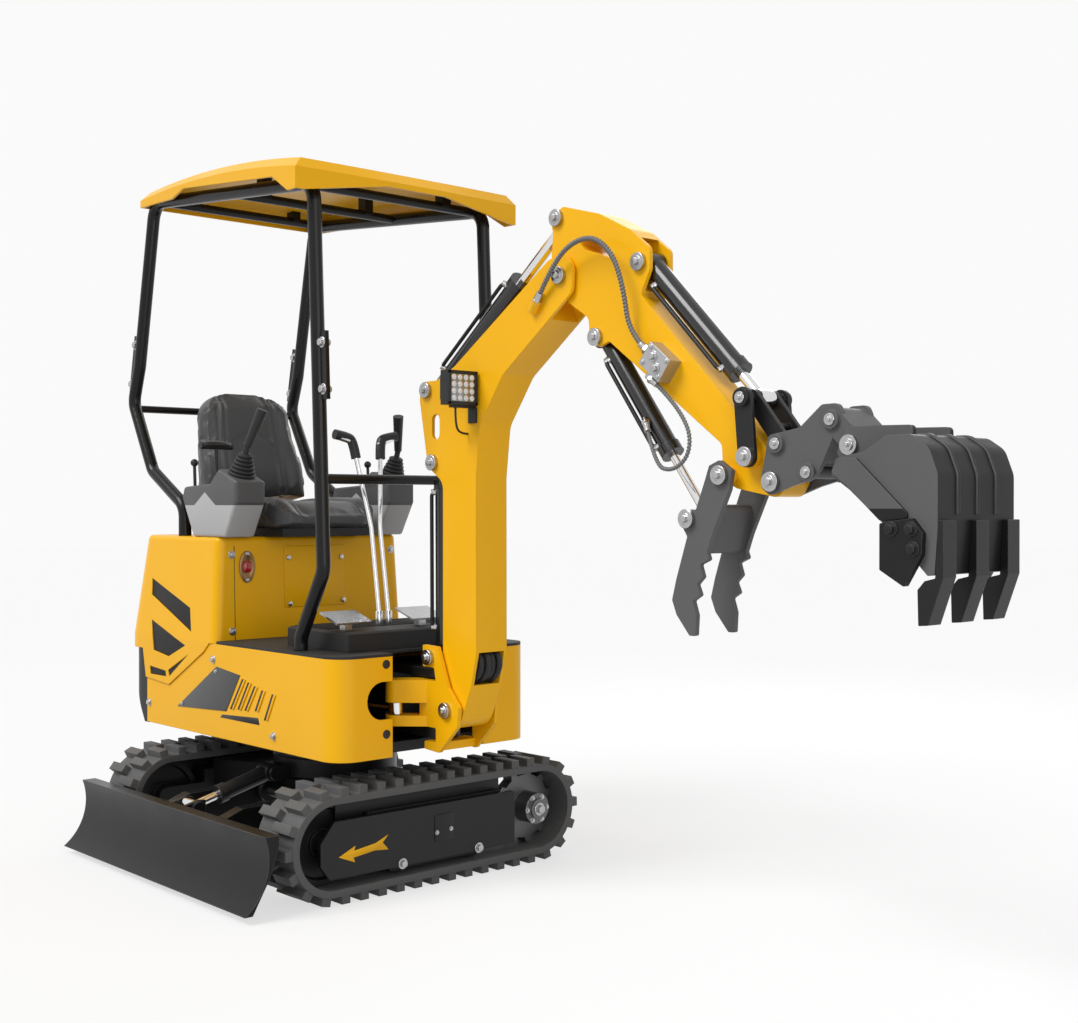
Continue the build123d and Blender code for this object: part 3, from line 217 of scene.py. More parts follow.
def edgeWearGroup():
    group, given, made = newGroup("edgeWear", {"Radius": 0.003, "Amount": 0.5, "Scale": 30.0},
                                  {"Mask": "NodeSocketFloat", "Normal": "NodeSocketVector"})
    place = group.nodes.new("ShaderNodeTexCoord").outputs["Object"]
    bevel = group.nodes.new("ShaderNodeBevel")
    bevel.samples = effectLook["bevelSamples"]
    group.links.new(given.outputs["Radius"], bevel.inputs["Radius"])
    surface = group.nodes.new("ShaderNodeNewGeometry")
    dot = group.nodes.new("ShaderNodeVectorMath")
    dot.operation = "DOT_PRODUCT"
    group.links.new(bevel.outputs["Normal"], dot.inputs[0])
    group.links.new(surface.outputs["Normal"], dot.inputs[1])
    turned = mathNode(group, "SUBTRACT", 1.0, dot.outputs["Value"])
    edge = mathNode(group, "MULTIPLY", turned, effectLook["edgeGain"])
    edge = mathNode(group, "MINIMUM", edge, 1.0)
    spots = mathNode(group, "MULTIPLY", edge, noiseNode(group, place, given.outputs["Scale"]))
    mask = mathNode(group, "MULTIPLY", spots, given.outputs["Amount"])
    group.links.new(mask, made.inputs["Mask"])
    group.links.new(bevel.outputs["Normal"], made.inputs["Normal"])
    return group


def mottleGroup():
    group, given, made = newGroup("mottle", {"Scale": 3.0}, {"Mask": "NodeSocketFloat"})
    place = group.nodes.new("ShaderNodeTexCoord").outputs["Object"]
    noise = noiseNode(group, place, given.outputs["Scale"], effectLook["mottleDetail"])
    group.links.new(noise, made.inputs["Mask"])
    return group


def grainGroup():
    group, given, made = newGroup("grain", {"Scale": 400.0}, {"Height": "NodeSocketFloat"})
    place = group.nodes.new("ShaderNodeTexCoord").outputs["Object"]
    noise = noiseNode(group, place, given.outputs["Scale"], effectLook["grainDetail"])
    group.links.new(noise, made.inputs["Height"])
    return group


def dustGroup():
    # dust lies on faces that look up, in patches
    group, given, made = newGroup("dust", {"Scale": 8.0, "Amount": 0.2},
                                  {"Mask": "NodeSocketFloat"})
    place = group.nodes.new("ShaderNodeTexCoord").outputs["Object"]
    surface = group.nodes.new("ShaderNodeNewGeometry")
    split = group.nodes.new("ShaderNodeSeparateXYZ")
    group.links.new(surface.outputs["Normal"], split.inputs[0])
    up = mathNode(group, "MAXIMUM", split.outputs["Z"], effectLook["leastUp"])
    noise = noiseNode(group, place, given.outputs["Scale"], effectLook["dustDetail"])
    patches = mathNode(group, "MULTIPLY", up, noise)
    mask = mathNode(group, "MULTIPLY", patches, given.outputs["Amount"])
    group.links.new(mask, made.inputs["Mask"])
    return group


effects = {"edgeWear": edgeWearGroup(), "mottle": mottleGroup(), "grain": grainGroup(),
           "dust": dustGroup()}


def useGroup(tree, name, **values):
    node = tree.nodes.new("ShaderNodeGroup")
    node.node_tree = effects[name]
    for label, value in values.items():
        node.inputs[label].default_value = value
    return node


def mixColour(tree, share, first, second):
    mix = tree.nodes.new("ShaderNodeMix")
    mix.data_type = "RGBA"
    tree.links.new(share, mix.inputs["Factor"])
    for socket, value in ((mix.inputs["A"], first), (mix.inputs["B"], second)):
        if isinstance(value, tuple):
            socket.default_value = (*value, 1.0)
        else:
            tree.links.new(value, socket)
    return mix.outputs["Result"]


def spread(tree, value, low, high):
    node = tree.nodes.new("ShaderNodeMapRange")
    tree.links.new(value, node.inputs["Value"])
    least, most = effectLook["noiseSpan"]
    for label, end in (("From Min", least), ("From Max", most), ("To Min", low), ("To Max", high)):
        node.inputs[label].default_value = end
    return node.outputs["Result"]


def startMaterial(name):
    material = bpy.data.materials.new(name)
    material.use_nodes = True
    return material, material.node_tree, material.node_tree.nodes["Principled BSDF"]


def setBump(tree, shader, height, strength, depth, normal=None):
    bump = tree.nodes.new("ShaderNodeBump")
    bump.inputs["Strength"].default_value = strength
    bump.inputs["Distance"].default_value = depth
    tree.links.new(height, bump.inputs["Height"])
    if normal is not None:
        tree.links.new(normal, bump.inputs["Normal"])
    tree.links.new(bump.outputs["Normal"], shader.inputs["Normal"])


# what a finish has unless its own dictionary says otherwise
usualLook = {"metallic": 0.0, "coat": 0.0, "coatRough": 0.1, "specular": 0.5, "mottleScale": 4.0,
             "edge": 0.003, "wear": 0.3, "dust": 0.05, "dustColour": (0.32, 0.3, 0.27),
             "grainScale": 500.0, "bump": 0.05, "bumpDepth": 0.0005}


def makeFinish(name, ownLook):
    look = {**usualLook, **ownLook}
    material, tree, shader = startMaterial(name)
    shader.inputs["Metallic"].default_value = look["metallic"]
    shader.inputs["Coat Weight"].default_value = look["coat"]
    shader.inputs["Coat Roughness"].default_value = look["coatRough"]
    shader.inputs["Specular IOR Level"].default_value = look["specular"]
    mottle = useGroup(tree, "mottle", Scale=look["mottleScale"]).outputs["Mask"]
    wear = useGroup(tree, "edgeWear", Radius=look["edge"], Amount=look["wear"])
    dust = useGroup(tree, "dust", Amount=look["dust"])
    colour = mixColour(tree, mottle, look["base"], look["shade"])
    colour = mixColour(tree, wear.outputs["Mask"], colour, look["bare"])
    colour = mixColour(tree, dust.outputs["Mask"], colour, look["dustColour"])
    tree.links.new(colour, shader.inputs["Base Color"])
    tree.links.new(spread(tree, mottle, *look["rough"]), shader.inputs["Roughness"])
    grain = useGroup(tree, "grain", Scale=look["grainScale"])
    setBump(tree, shader, grain.outputs["Height"], look["bump"], look["bumpDepth"],
            wear.outputs["Normal"])
    return material


yellowPaint = makeFinish("yellowPaint", {
    "base": (0.90, 0.465, 0.003), "shade": (0.84, 0.42, 0.002), "bare": (0.95, 0.56, 0.03),
    "rough": (0.3, 0.4), "specular": 0.2, "coat": 0.06, "coatRough": 0.12, "wear": 0.3,
    "dust": 0.02, "grainScale": 180.0, "bump": 0.03})
blackPaint = makeFinish("blackPaint", {
    "base": (0.007, 0.007, 0.0075), "shade": (0.011, 0.011, 0.0115), "bare": (0.09, 0.09, 0.095),
    "rough": (0.34, 0.46), "specular": 0.28, "wear": 0.4, "dust": 0.02, "grainScale": 420.0,
    "bump": 0.06})
greyPaint = makeFinish("greyPaint", {
    "base": (0.082, 0.082, 0.084), "shade": (0.100, 0.100, 0.102), "bare": (0.22, 0.22, 0.23),
    "rough": (0.42, 0.55), "specular": 0.3, "wear": 0.5, "dust": 0.04, "grainScale": 350.0,
    "bump": 0.05})
toothSteel = makeFinish("toothSteel", {
    "base": (0.007, 0.007, 0.0073), "shade": (0.012, 0.012, 0.0123), "bare": (0.2, 0.2, 0.21),
    "rough": (0.28, 0.42), "specular": 0.25, "wear": 0.6, "grainScale": 160.0, "bump": 0.12})
wornSteel = makeFinish("wornSteel", {
    "base": (0.11, 0.11, 0.115), "shade": (0.17, 0.17, 0.175), "bare": (0.4, 0.4, 0.41),
    "rough": (0.35, 0.55), "metallic": 0.85, "wear": 0.6, "grainScale": 220.0, "bump": 0.08})
zincPlate = makeFinish("zincPlate", {
    "base": (0.52, 0.52, 0.53), "shade": (0.36, 0.36, 0.365), "bare": (0.7, 0.7, 0.7),
    "rough": (0.22, 0.36), "metallic": 1.0, "edge": 0.001, "wear": 0.4, "mottleScale": 30.0,
    "grainScale": 900.0, "bump": 0.03})
chromeRod = makeFinish("chromeRod", {
    "base": (0.78, 0.78, 0.79), "shade": (0.7, 0.7, 0.71), "bare": (0.85, 0.85, 0.85),
    "rough": (0.07, 0.13), "metallic": 1.0, "edge": 0.001, "wear": 0.1, "dust": 0.0,
    "grainScale": 1200.0, "bump": 0.01})
castAluminium = makeFinish("castAluminium", {
    "base": (0.40, 0.40, 0.41), "shade": (0.50, 0.50, 0.51), "bare": (0.75, 0.75, 0.75),
    "rough": (0.34, 0.48), "metallic": 0.9, "edge": 0.002, "grainScale": 700.0, "bump": 0.15})
trackRubber = makeFinish("trackRubber", {
    "base": (0.055, 0.055, 0.056), "shade": (0.085, 0.084, 0.083), "bare": (0.16, 0.158, 0.155),
    "rough": (0.62, 0.78), "wear": 0.6, "dust": 0.25, "dustColour": (0.2, 0.195, 0.185),
    "edge": 0.004, "mottleScale": 12.0, "grainScale": 70.0, "bump": 0.45, "bumpDepth": 0.003})
blackPlastic = makeFinish("blackPlastic", {
    "base": (0.010, 0.010, 0.0105), "shade": (0.016, 0.016, 0.0165), "bare": (0.05, 0.05, 0.05),
    "rough": (0.38, 0.5), "specular": 0.35, "edge": 0.002, "dust": 0.02, "grainScale": 900.0,
    "bump": 0.08})
floorRubber = makeFinish("floorRubber", {
    "base": (0.012, 0.012, 0.0125), "shade": (0.018, 0.018, 0.0185), "bare": (0.06, 0.06, 0.06),
    "rough": (0.5, 0.66), "specular": 0.3, "dust": 0.06, "grainScale": 600.0, "bump": 0.12})
bladePaint = makeFinish("bladePaint", {
    "base": (0.005, 0.005, 0.0053), "shade": (0.009, 0.009, 0.0093), "bare": (0.34, 0.34, 0.345),
    "rough": (0.26, 0.36), "specular": 0.2, "wear": 0.8, "dust": 0.01, "mottleScale": 7.0,
    "grainScale": 300.0, "bump": 0.05})
barrelPaint = makeFinish("barrelPaint", {
    "base": (0.006, 0.006, 0.0063), "shade": (0.010, 0.010, 0.0103), "bare": (0.08, 0.08, 0.083),
    "rough": (0.16, 0.26), "specular": 0.4, "coat": 0.35, "coatRough": 0.08, "wear": 0.35,
    "dust": 0.01, "grainScale": 260.0, "bump": 0.04})
postPaint = makeFinish("postPaint", {
    "base": (0.005, 0.005, 0.0053), "shade": (0.008, 0.008, 0.0083), "bare": (0.07, 0.07, 0.073),
    "rough": (0.2, 0.3), "specular": 0.24, "wear": 0.3, "dust": 0.01, "grainScale": 300.0,
    "bump": 0.04})
hoseRubber = makeFinish("hoseRubber", {
    "base": (0.16, 0.16, 0.162), "shade": (0.115, 0.115, 0.117), "bare": (0.14, 0.14, 0.14),
    "rough": (0.36, 0.5), "specular": 0.4, "edge": 0.001, "grainScale": 700.0, "bump": 0.05})
ventMesh = makeFinish("ventMesh", {
    "base": (0.006, 0.006, 0.0062), "shade": (0.010, 0.010, 0.0102), "bare": (0.03, 0.03, 0.03),
    "rough": (0.5, 0.65), "specular": 0.3, "edge": 0.001, "grainScale": 260.0, "bump": 0.4,
    "bumpDepth": 0.002})
darkPlate = makeFinish("darkPlate", {
    "base": (0.040, 0.041, 0.043), "shade": (0.055, 0.056, 0.058), "bare": (0.12, 0.12, 0.12),
    "rough": (0.28, 0.38), "edge": 0.001, "grainScale": 600.0, "bump": 0.03})
bronzeRim = makeFinish("bronzeRim", {
    "base": (0.30, 0.17, 0.06), "shade": (0.24, 0.13, 0.045), "bare": (0.5, 0.33, 0.14),
    "rough": (0.3, 0.4), "metallic": 0.6, "edge": 0.001, "grainScale": 700.0, "bump": 0.05})
redLens = makeFinish("redLens", {
    "base": (0.42, 0.012, 0.010), "shade": (0.36, 0.009, 0.008), "bare": (0.5, 0.03, 0.02),
    "rough": (0.10, 0.16), "coat": 0.6, "coatRough": 0.05, "edge": 0.001, "wear": 0.05, "dust": 0.0,
    "grainScale": 300.0, "bump": 0.02})
clearLens = makeFinish("clearLens", {
    "base": (0.72, 0.73, 0.74), "shade": (0.60, 0.61, 0.62), "bare": (0.8, 0.8, 0.8),
    "rough": (0.08, 0.14), "coat": 0.7, "coatRough": 0.04, "edge": 0.001, "wear": 0.05, "dust": 0.0,
    "mottleScale": 90.0, "bump": 0.02})
lampBack = makeFinish("lampBack", {
    "base": (0.24, 0.24, 0.245), "shade": (0.32, 0.32, 0.325), "bare": (0.5, 0.5, 0.5),
    "rough": (0.2, 0.3), "metallic": 0.8, "edge": 0.001, "grainScale": 600.0, "bump": 0.04})
print("finishes made")

slotFinish = {
    "yellow_paint": yellowPaint, "black_paint": blackPaint, "grey_paint": greyPaint,
    "worn_steel": wornSteel, "chrome_rod": chromeRod, "track_rubber": trackRubber,
    "black_plastic": blackPlastic, "bare_aluminium": castAluminium, "hose_rubber": hoseRubber,
}
nodeFinish = {
    "bucket_teeth": toothSteel, "bucket_pin": zincPlate, "pedals": zincPlate,
    "floor_deck": floorRubber, "floor_box": floorRubber, "h_link": blackPaint,
    "blade": bladePaint, "boom_barrel": barrelPaint, "arm_barrel": barrelPaint,
    "bucket_barrel": barrelPaint, "thumb_barrel": barrelPaint, "canopy_frame": postPaint,
}


# the two-tone mouldings beside the seat
consoleLook = {"upper": (0.055, 0.055, 0.057), "upperShade": (0.075, 0.075, 0.077),
               "lower": (0.43, 0.43, 0.435), "lowerShade": (0.39, 0.39, 0.395),
               "peakY": -0.215, "peakZ": 1.115, "rise": 0.62, "level": 1.075, "mottleScale": 6.0,
               "rough": (0.45, 0.55), "edge": 0.005, "wear": 0.2, "grainScale": 800.0,
               "bump": 0.08, "bumpDepth": 0.0005}


def consolePlastic():
    look = consoleLook
    material, tree, shader = startMaterial("consolePlastic")
    place = tree.nodes.new("ShaderNodeTexCoord").outputs["Object"]
    split = tree.nodes.new("ShaderNodeSeparateXYZ")
    tree.links.new(place, split.inputs[0])
    fromPeak = mathNode(tree, "SUBTRACT", split.outputs["Y"], look["peakY"])
    drop = mathNode(tree, "MULTIPLY", mathNode(tree, "ABSOLUTE", fromPeak), look["rise"])
    slope = mathNode(tree, "SUBTRACT", look["peakZ"], drop)
    border = mathNode(tree, "MAXIMUM", slope, look["level"])
    isLower = mathNode(tree, "LESS_THAN", split.outputs["Z"], border)
    mottle = useGroup(tree, "mottle", Scale=look["mottleScale"]).outputs["Mask"]
    upper = mixColour(tree, mottle, look["upper"], look["upperShade"])
    lower = mixColour(tree, mottle, look["lower"], look["lowerShade"])
    tree.links.new(mixColour(tree, isLower, upper, lower), shader.inputs["Base Color"])
    tree.links.new(spread(tree, mottle, *look["rough"]), shader.inputs["Roughness"])
    wear = useGroup(tree, "edgeWear", Radius=look["edge"], Amount=look["wear"])
    grain = useGroup(tree, "grain", Scale=look["grainScale"])
    setBump(tree, shader, grain.outputs["Height"], look["bump"], look["bumpDepth"],
            wear.outputs["Normal"])
    return material


slotFinish["grey_plastic"] = consolePlastic()


# bucket: grey side plates, black sheet round the back
bucketLook = {"side": (0.108, 0.108, 0.110), "sideShade": (0.082, 0.082, 0.084),
              "back": (0.006, 0.006, 0.0063), "backShade": (0.010, 0.010, 0.0103),
              "bare": (0.16, 0.16, 0.165), "turn": 0.8, "cutterX": 0.1415, "cutterZ": 1.07,
              "specular": 0.22, "mottleScale": 5.0, "rough": (0.36, 0.5), "edge": 0.003,
              "wear": 0.5, "grainScale": 350.0, "bump": 0.06, "bumpDepth": 0.0005}


def bucketPaint():
    look = bucketLook
    material, tree, shader = startMaterial("bucketPaint")
    shader.inputs["Specular IOR Level"].default_value = look["specular"]
    place = tree.nodes.new("ShaderNodeTexCoord")
    facing = tree.nodes.new("ShaderNodeSeparateXYZ")
    tree.links.new(place.outputs["Normal"], facing.inputs[0])
    split = tree.nodes.new("ShaderNodeSeparateXYZ")
    tree.links.new(place.outputs["Object"], split.inputs[0])
    sideways = mathNode(tree, "ABSOLUTE", facing.outputs["X"])
    facesOut = mathNode(tree, "GREATER_THAN", sideways, look["turn"])
    fromMiddle = mathNode(tree, "ABSOLUTE", split.outputs["X"])
    within = mathNode(tree, "LESS_THAN", fromMiddle, look["cutterX"])
    above = mathNode(tree, "GREATER_THAN", split.outputs["Z"], look["cutterZ"])
    isSide = mathNode(tree, "MULTIPLY", facesOut, mathNode(tree, "MAXIMUM", within, above))
    mottle = useGroup(tree, "mottle", Scale=look["mottleScale"]).outputs["Mask"]
    back = mixColour(tree, mottle, look["back"], look["backShade"])
    side = mixColour(tree, mottle, look["side"], look["sideShade"])
    wear = useGroup(tree, "edgeWear", Radius=look["edge"], Amount=look["wear"])
    colour = mixColour(tree, isSide, back, side)
    colour = mixColour(tree, wear.outputs["Mask"], colour, look["bare"])
    tree.links.new(colour, shader.inputs["Base Color"])
    tree.links.new(spread(tree, mottle, *look["rough"]), shader.inputs["Roughness"])
    grain = useGroup(tree, "grain", Scale=look["grainScale"])
    setBump(tree, shader, grain.outputs["Height"], look["bump"], look["bumpDepth"],
            wear.outputs["Normal"])
    return material


nodeFinish["bucket"] = bucketPaint()


# embossed vinyl for the seat
vinylLook = {"base": (0.028, 0.028, 0.029), "shade": (0.042, 0.042, 0.043), "mottleScale": 5.0,
             "rough": (0.36, 0.5), "sheen": 0.08, "cellScale": 420.0, "bump": 0.22,
             "bumpDepth": 0.0006}


def seatVinyl():
    look = vinylLook
    material, tree, shader = startMaterial("seatVinyl")
    shader.inputs["Sheen Weight"].default_value = look["sheen"]
    place = tree.nodes.new("ShaderNodeTexCoord").outputs["Object"]
    mottle = useGroup(tree, "mottle", Scale=look["mottleScale"]).outputs["Mask"]
    colour = mixColour(tree, mottle, look["base"], look["shade"])
    tree.links.new(colour, shader.inputs["Base Color"])
    tree.links.new(spread(tree, mottle, *look["rough"]), shader.inputs["Roughness"])
    cells = tree.nodes.new("ShaderNodeTexVoronoi")
    cells.inputs["Scale"].default_value = look["cellScale"]
    tree.links.new(place, cells.inputs["Vector"])
    setBump(tree, shader, cells.outputs["Distance"], look["bump"], look["bumpDepth"])
    return material


slotFinish["seat_vinyl"] = seatVinyl()

for part in frame["record"]["subparts"]:
    finish = nodeFinish.get(part["node"], slotFinish[part["material_slot"]])
    nodes[part["node"]].data.materials.clear()
    nodes[part["node"]].data.materials.append(finish)
print("finishes on the nodes")


# soft seat, swollen by cloth pressure
swellFrames = 20
cushionPad = {"cuts": 34, "crown": 0.010, "bolster": 0.012, "bolsterX": (0.10, 0.16),
              "roll": 0.03, "rollReach": 0.09, "voxel": 0.006, "pressure": 4.0, "cap": 0.010,
              "inset": 0.008, "corner": 0.075, "fill": 0.75,
              "sideSeam": 0.118, "sideSewn": (0.006, 0.007),
              "crossSeam": 0.12, "crossSewn": (0.005, 0.006)}
backPad = {"size": (0.366, 0.082, 0.375), "cuts": 34, "taper": 0.038, "taperPower": 1.5,
           "bolster": 0.030, "wingX": (0.085, 0.15), "wingRise": 0.02, "hollow": (0.55, 0.45),
           "lumbar": 0.012, "lumbarAt": 0.25, "lumbarWidth": 0.2, "wrap": 0.012,
           "topRoll": 0.018, "topFrom": 0.8, "voxel": 0.006, "pressure": 4.0, "cap": 0.009,
           "lean": math.radians(12.0), "corner": 0.085, "sink": 0.010, "fill": 0.7,
           "sideSeam": 0.112, "sideLean": 0.10, "sideSewn": (0.006, 0.006),
           "crossSeam": 0.05, "crossSlope": 0.5, "crossHalf": 0.09, "crossSewn": (0.003, 0.006)}


def smoothStep(low, high, value):
    share = min(1.0, max(0.0, (value - low) / (high - low)))
    return share * share * (3 - 2 * share)


def padBlank(name, size, cuts):
    clearSelection()
    bpy.ops.mesh.primitive_cube_add(size=1)
    piece = bpy.context.object
    piece.name = name
    piece.scale = size
    bpy.ops.object.transform_apply(location=True, rotation=True, scale=True)
    bpy.ops.object.mode_set(mode="EDIT")
    bpy.ops.mesh.select_all(action="SELECT")
    bpy.ops.mesh.subdivide(number_cuts=cuts)
    bpy.ops.object.mode_set(mode="OBJECT")
    return piece


def remeshPad(piece, voxel):
    remesh = piece.modifiers.new("remesh", "REMESH")
    remesh.mode = "VOXEL"
    remesh.voxel_size = voxel
    applyModifiers(piece)


def swellPad(piece, pad):
    start = [vertex.co.copy() for vertex in piece.data.vertices]
    pick(piece)
    cloth = piece.modifiers.new("swell", "CLOTH")
    cloth.settings.use_pressure = True
    cloth.settings.uniform_pressure_force = pad["pressure"]
    cloth.settings.effector_weights.gravity = 0
    scene = bpy.context.scene
    for step in range(1, swellFrames + 1):
        scene.frame_set(step)
    bpy.ops.object.modifier_apply(modifier=cloth.name)
    scene.frame_set(1)
    for vertex, first in zip(piece.data.vertices, start):
        move = vertex.co - first
        if move.length > pad["cap"]:
            vertex.co = first + move * (pad["cap"] / move.length)


def sewLine(piece, distance, depth, width):
    # sinks a sewn channel along the line where distance(place) is zero
    normals = [vertex.normal.copy() for vertex in piece.data.vertices]
    for vertex, normal in zip(piece.data.vertices, normals):
        away = distance(vertex.co)
        if away is not None:
            vertex.co = vertex.co - normal * depth * math.exp(-(away / width) ** 2)


def finishPad(piece, node):
    subdivide = piece.modifiers.new("smooth", "SUBSURF")
    subdivide.levels = 1
    subdivide.render_levels = 1
    applyModifiers(piece)
    pick(piece)
    bpy.ops.object.shade_smooth()
    dress(piece, "upper", slotFinish["seat_vinyl"])
    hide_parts(node)


def cornerInset(along, half, reach, radius):
    # how far a rounded corner pulls the side in at this distance from the end
    short = radius - (reach - along)
    if short <= 0:
        return half
    return half - radius + math.sqrt(max(0.0, radius * radius - short * short))


def makeCushion():
    pad = cushionPad
    low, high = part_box("seat_cushion")
    size = high - low - Vector((2 * pad["inset"],) * 3)
    piece = padBlank("seatCushion", size, pad["cuts"])
    half = size / 2
    for vertex in piece.data.vertices:
        x, y, z = vertex.co
        x *= cornerInset(abs(y), half.x, half.y, pad["corner"]) / half.x
        top = z / half.z
        rise = pad["crown"] * (1 - (y / half.y) ** 2)
        rise += pad["bolster"] * smoothStep(*pad["bolsterX"], abs(x))
        roll = pad["roll"] * smoothStep(half.y - pad["rollReach"], half.y, y)
        z += (rise - roll) * (top + 1) / 2 - pad["bolster"] * (top + 1) / 2
        vertex.co = (x, y, z)
    remeshPad(piece, pad["voxel"])
    swellPad(piece, pad)
    side, cross = pad["sideSeam"], pad["crossSeam"]

    def fromSideSeam(place):
        return abs(abs(place.x) - side) if place.z > 0 else None

    def fromCrossSeam(place):
        return abs(place.y - cross) if place.z > 0 and abs(place.x) < side else None

    sewLine(piece, fromSideSeam, *pad["sideSewn"])
    sewLine(piece, fromCrossSeam, *pad["crossSewn"])
    piece.data.transform(Matrix.Translation((low + high) / 2))
    finishPad(piece, "seat_cushion")


def makeBack():
    pad = backPad
    width, thickness, height = pad["size"]
    piece = padBlank("seatBack", pad["size"], pad["cuts"])
    hollowAll, hollowFoot = pad["hollow"]
    for vertex in piece.data.vertices:
        x, y, z = vertex.co
        tall = z / height + 0.5
        half = width / 2 - pad["taper"] * tall ** pad["taperPower"]
        half = cornerInset(z + height / 2, half, height, pad["corner"])
        x *= half / (width / 2)
        front = y / thickness + 0.5
        wing = smoothStep(*pad["wingX"], abs(x) + pad["wingRise"] * tall)
        hollow = pad["bolster"] * (1 - wing) * (hollowAll + hollowFoot * (1 - tall))
        fromLumbar = (tall - pad["lumbarAt"]) / pad["lumbarWidth"]
        lumbar = pad["lumbar"] * math.exp(-fromLumbar ** 2)
        y += (lumbar - hollow) * front + pad["wrap"] * abs(2 * x / width) ** 2 * front
        y -= pad["topRoll"] * smoothStep(pad["topFrom"], 1.0, tall) * front
        vertex.co = (x, y, z)
    remeshPad(piece, pad["voxel"])
    swellPad(piece, pad)

    def fromSideSeam(place):
        lean = pad["sideLean"] * (place.z + height / 2) / 2
        return abs(abs(place.x) - pad["sideSeam"] + lean) if place.y > 0 else None

    def fromCrossSeam(place):
        away = abs(place.z - pad["crossSeam"] + pad["crossSlope"] * abs(place.x))
        return away if place.y > 0 and abs(place.x) < pad["crossHalf"] else None

    sewLine(piece, fromSideSeam, *pad["sideSewn"])
    sewLine(piece, fromCrossSeam, *pad["crossSewn"])
    low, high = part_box("seat_back")
    turn = Matrix.Rotation(pad["lean"], 4, "X")
    middle = (low + high) / 2 - Vector((0, 0, pad["sink"]))
    piece.data.transform(Matrix.Translation(middle) @ turn)
    finishPad(piece, "seat_back")


makeCushion()
makeBack()
print("seat padded")


# softer copies of moulded rubber and plastic
softLook = {"track_left": ("leftTrack", 0.0045, "undercarriage", "track_rubber"),
            "track_right": ("rightTrack", 0.0045, "undercarriage", "track_rubber"),
            "console_left": ("leftConsole", 0.016, "upper", "grey_plastic"),
            "console_right": ("rightConsole", 0.016, "upper", "grey_plastic")}
softEdge = {"flat": math.radians(1.0), "segments": 3, "angle": 32}


def addSoftCopies():
    for node, (name, width, body, slot) in softLook.items():
        piece = bpy.data.objects.new(name, nodes[node].data.copy())
        bpy.context.scene.collection.objects.link(piece)
        cleanShell(piece)
        bpy.ops.object.mode_set(mode="EDIT")
        bpy.ops.mesh.select_all(action="SELECT")
        bpy.ops.mesh.dissolve_limited(angle_limit=softEdge["flat"])
        bpy.ops.object.mode_set(mode="OBJECT")
        roundEdges(piece, width, softEdge["segments"], softEdge["angle"])
        dress(piece, body, slotFinish[slot])
        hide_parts(node)


addSoftCopies()
print("tracks and consoles softened")

# palm rest on the small lever beside the seat
palmRest = {"place": (0.282, -0.242, 1.261), "half": (0.054, 0.026, 0.015), "under": 0.55,
            "narrowing": 0.12, "widening": 0.25}


def addPalmRest():
    clearSelection()
    bpy.ops.mesh.primitive_uv_sphere_add(segments=40, ring_count=20, radius=1)
    rest = bpy.context.object
    rest.name = "palmRest"
    width, depth, height = palmRest["half"]
    for vertex in rest.data.vertices:
        x, y, z = vertex.co
        under = palmRest["under"] if z < 0 else 1.0
        vertex.co = (x * width * (1 - palmRest["narrowing"] * y),
                     y * depth * (1 + palmRest["widening"] * x * x), z * height * under)
    pick(rest)
    bpy.ops.object.shade_smooth()
    dress(stand(rest, palmRest["place"]), "upper", blackPlastic)


addPalmRest()

# hexagon bolts on washers
boltLook = {"radius": 0.010, "headDepth": 0.008, "headEdge": 0.001, "washer": 0.0145,
            "washerDepth": 0.0024, "washerEdge": 0.001, "washerWall": 0.7}


def makeBolt():
    look = boltLook
    clearSelection()
    lift = look["washerDepth"] + look["headDepth"] / 2
    bpy.ops.mesh.primitive_cylinder_add(vertices=6, radius=look["radius"],
                                        depth=look["headDepth"], location=(0, 0, lift))
    head = bpy.context.object
    bpy.ops.object.transform_apply(location=True, rotation=True, scale=True)
    roundEdges(head, look["headEdge"])
    rim, depth = look["washer"], look["washerDepth"]
    washer = addTurned("washer", [(0, 0), (rim, 0), (rim, depth * look["washerWall"]),
                                  (rim - look["washerEdge"], depth), (0, depth)])
    return joinAll("boltBlank", [head, washer])


boltBlank = makeBolt()


def boltAt(place, axis, radius):
    bolt = copyOf(boltBlank, "bolt")
    bolt.data.transform(Matrix.Scale(radius / boltLook["radius"], 4))
    return stand(bolt, place, axis)


def boltSet(name, body, bolts):
    # each bolt is its place, its axis and its radius
    return dress(joinAll(name, [boltAt(*bolt) for bolt in bolts]), body, zincPlate)


# the cowl's front leans back a little
cowlFront = {"y": -0.122, "lean": 0.008, "foot": 0.656, "height": 0.322}


def frontOfCowl(height):
    look = cowlFront
    return look["y"] - look["lean"] * (height - look["foot"]) / look["height"]


bodyBolts = {
    "side": ((-0.135, 0.609), (-0.542, 0.439), (0.204, 0.416)), "sideX": 0.350, "radius": 0.0085,
    "front": ((0.291, 0.924), (0.092, 0.911), (-0.108, 0.909), (-0.308, 0.928), (0.291, 0.690),
              (0.088, 0.766), (-0.113, 0.770)),
    "posts": ((0.396, 1.527), (0.402, 1.397), (-0.702, 1.606), (-0.728, 1.478)),
    "postX": 0.308, "postPlate": 0.006, "postRadius": 0.011,
}


def addBodyBolts():
    look = bodyBolts
    bolts = []
    for sign in (-1, 1):
        for y, z in look["side"]:
            bolts.append(((sign * look["sideX"], y, z), (sign, 0, 0), look["radius"]))
        for y, z in look["posts"]:
            for face in (-1, 1):
                x = sign * look["postX"] + face * look["postPlate"]
                bolts.append(((x, y, z), (face, 0, 0), look["postRadius"]))
    for x, z in look["front"]:
        bolts.append(((x, frontOfCowl(z), z), (0, 1, 0), look["radius"]))
    boltSet("bodyBolts", "upper", bolts)


addBodyBolts()

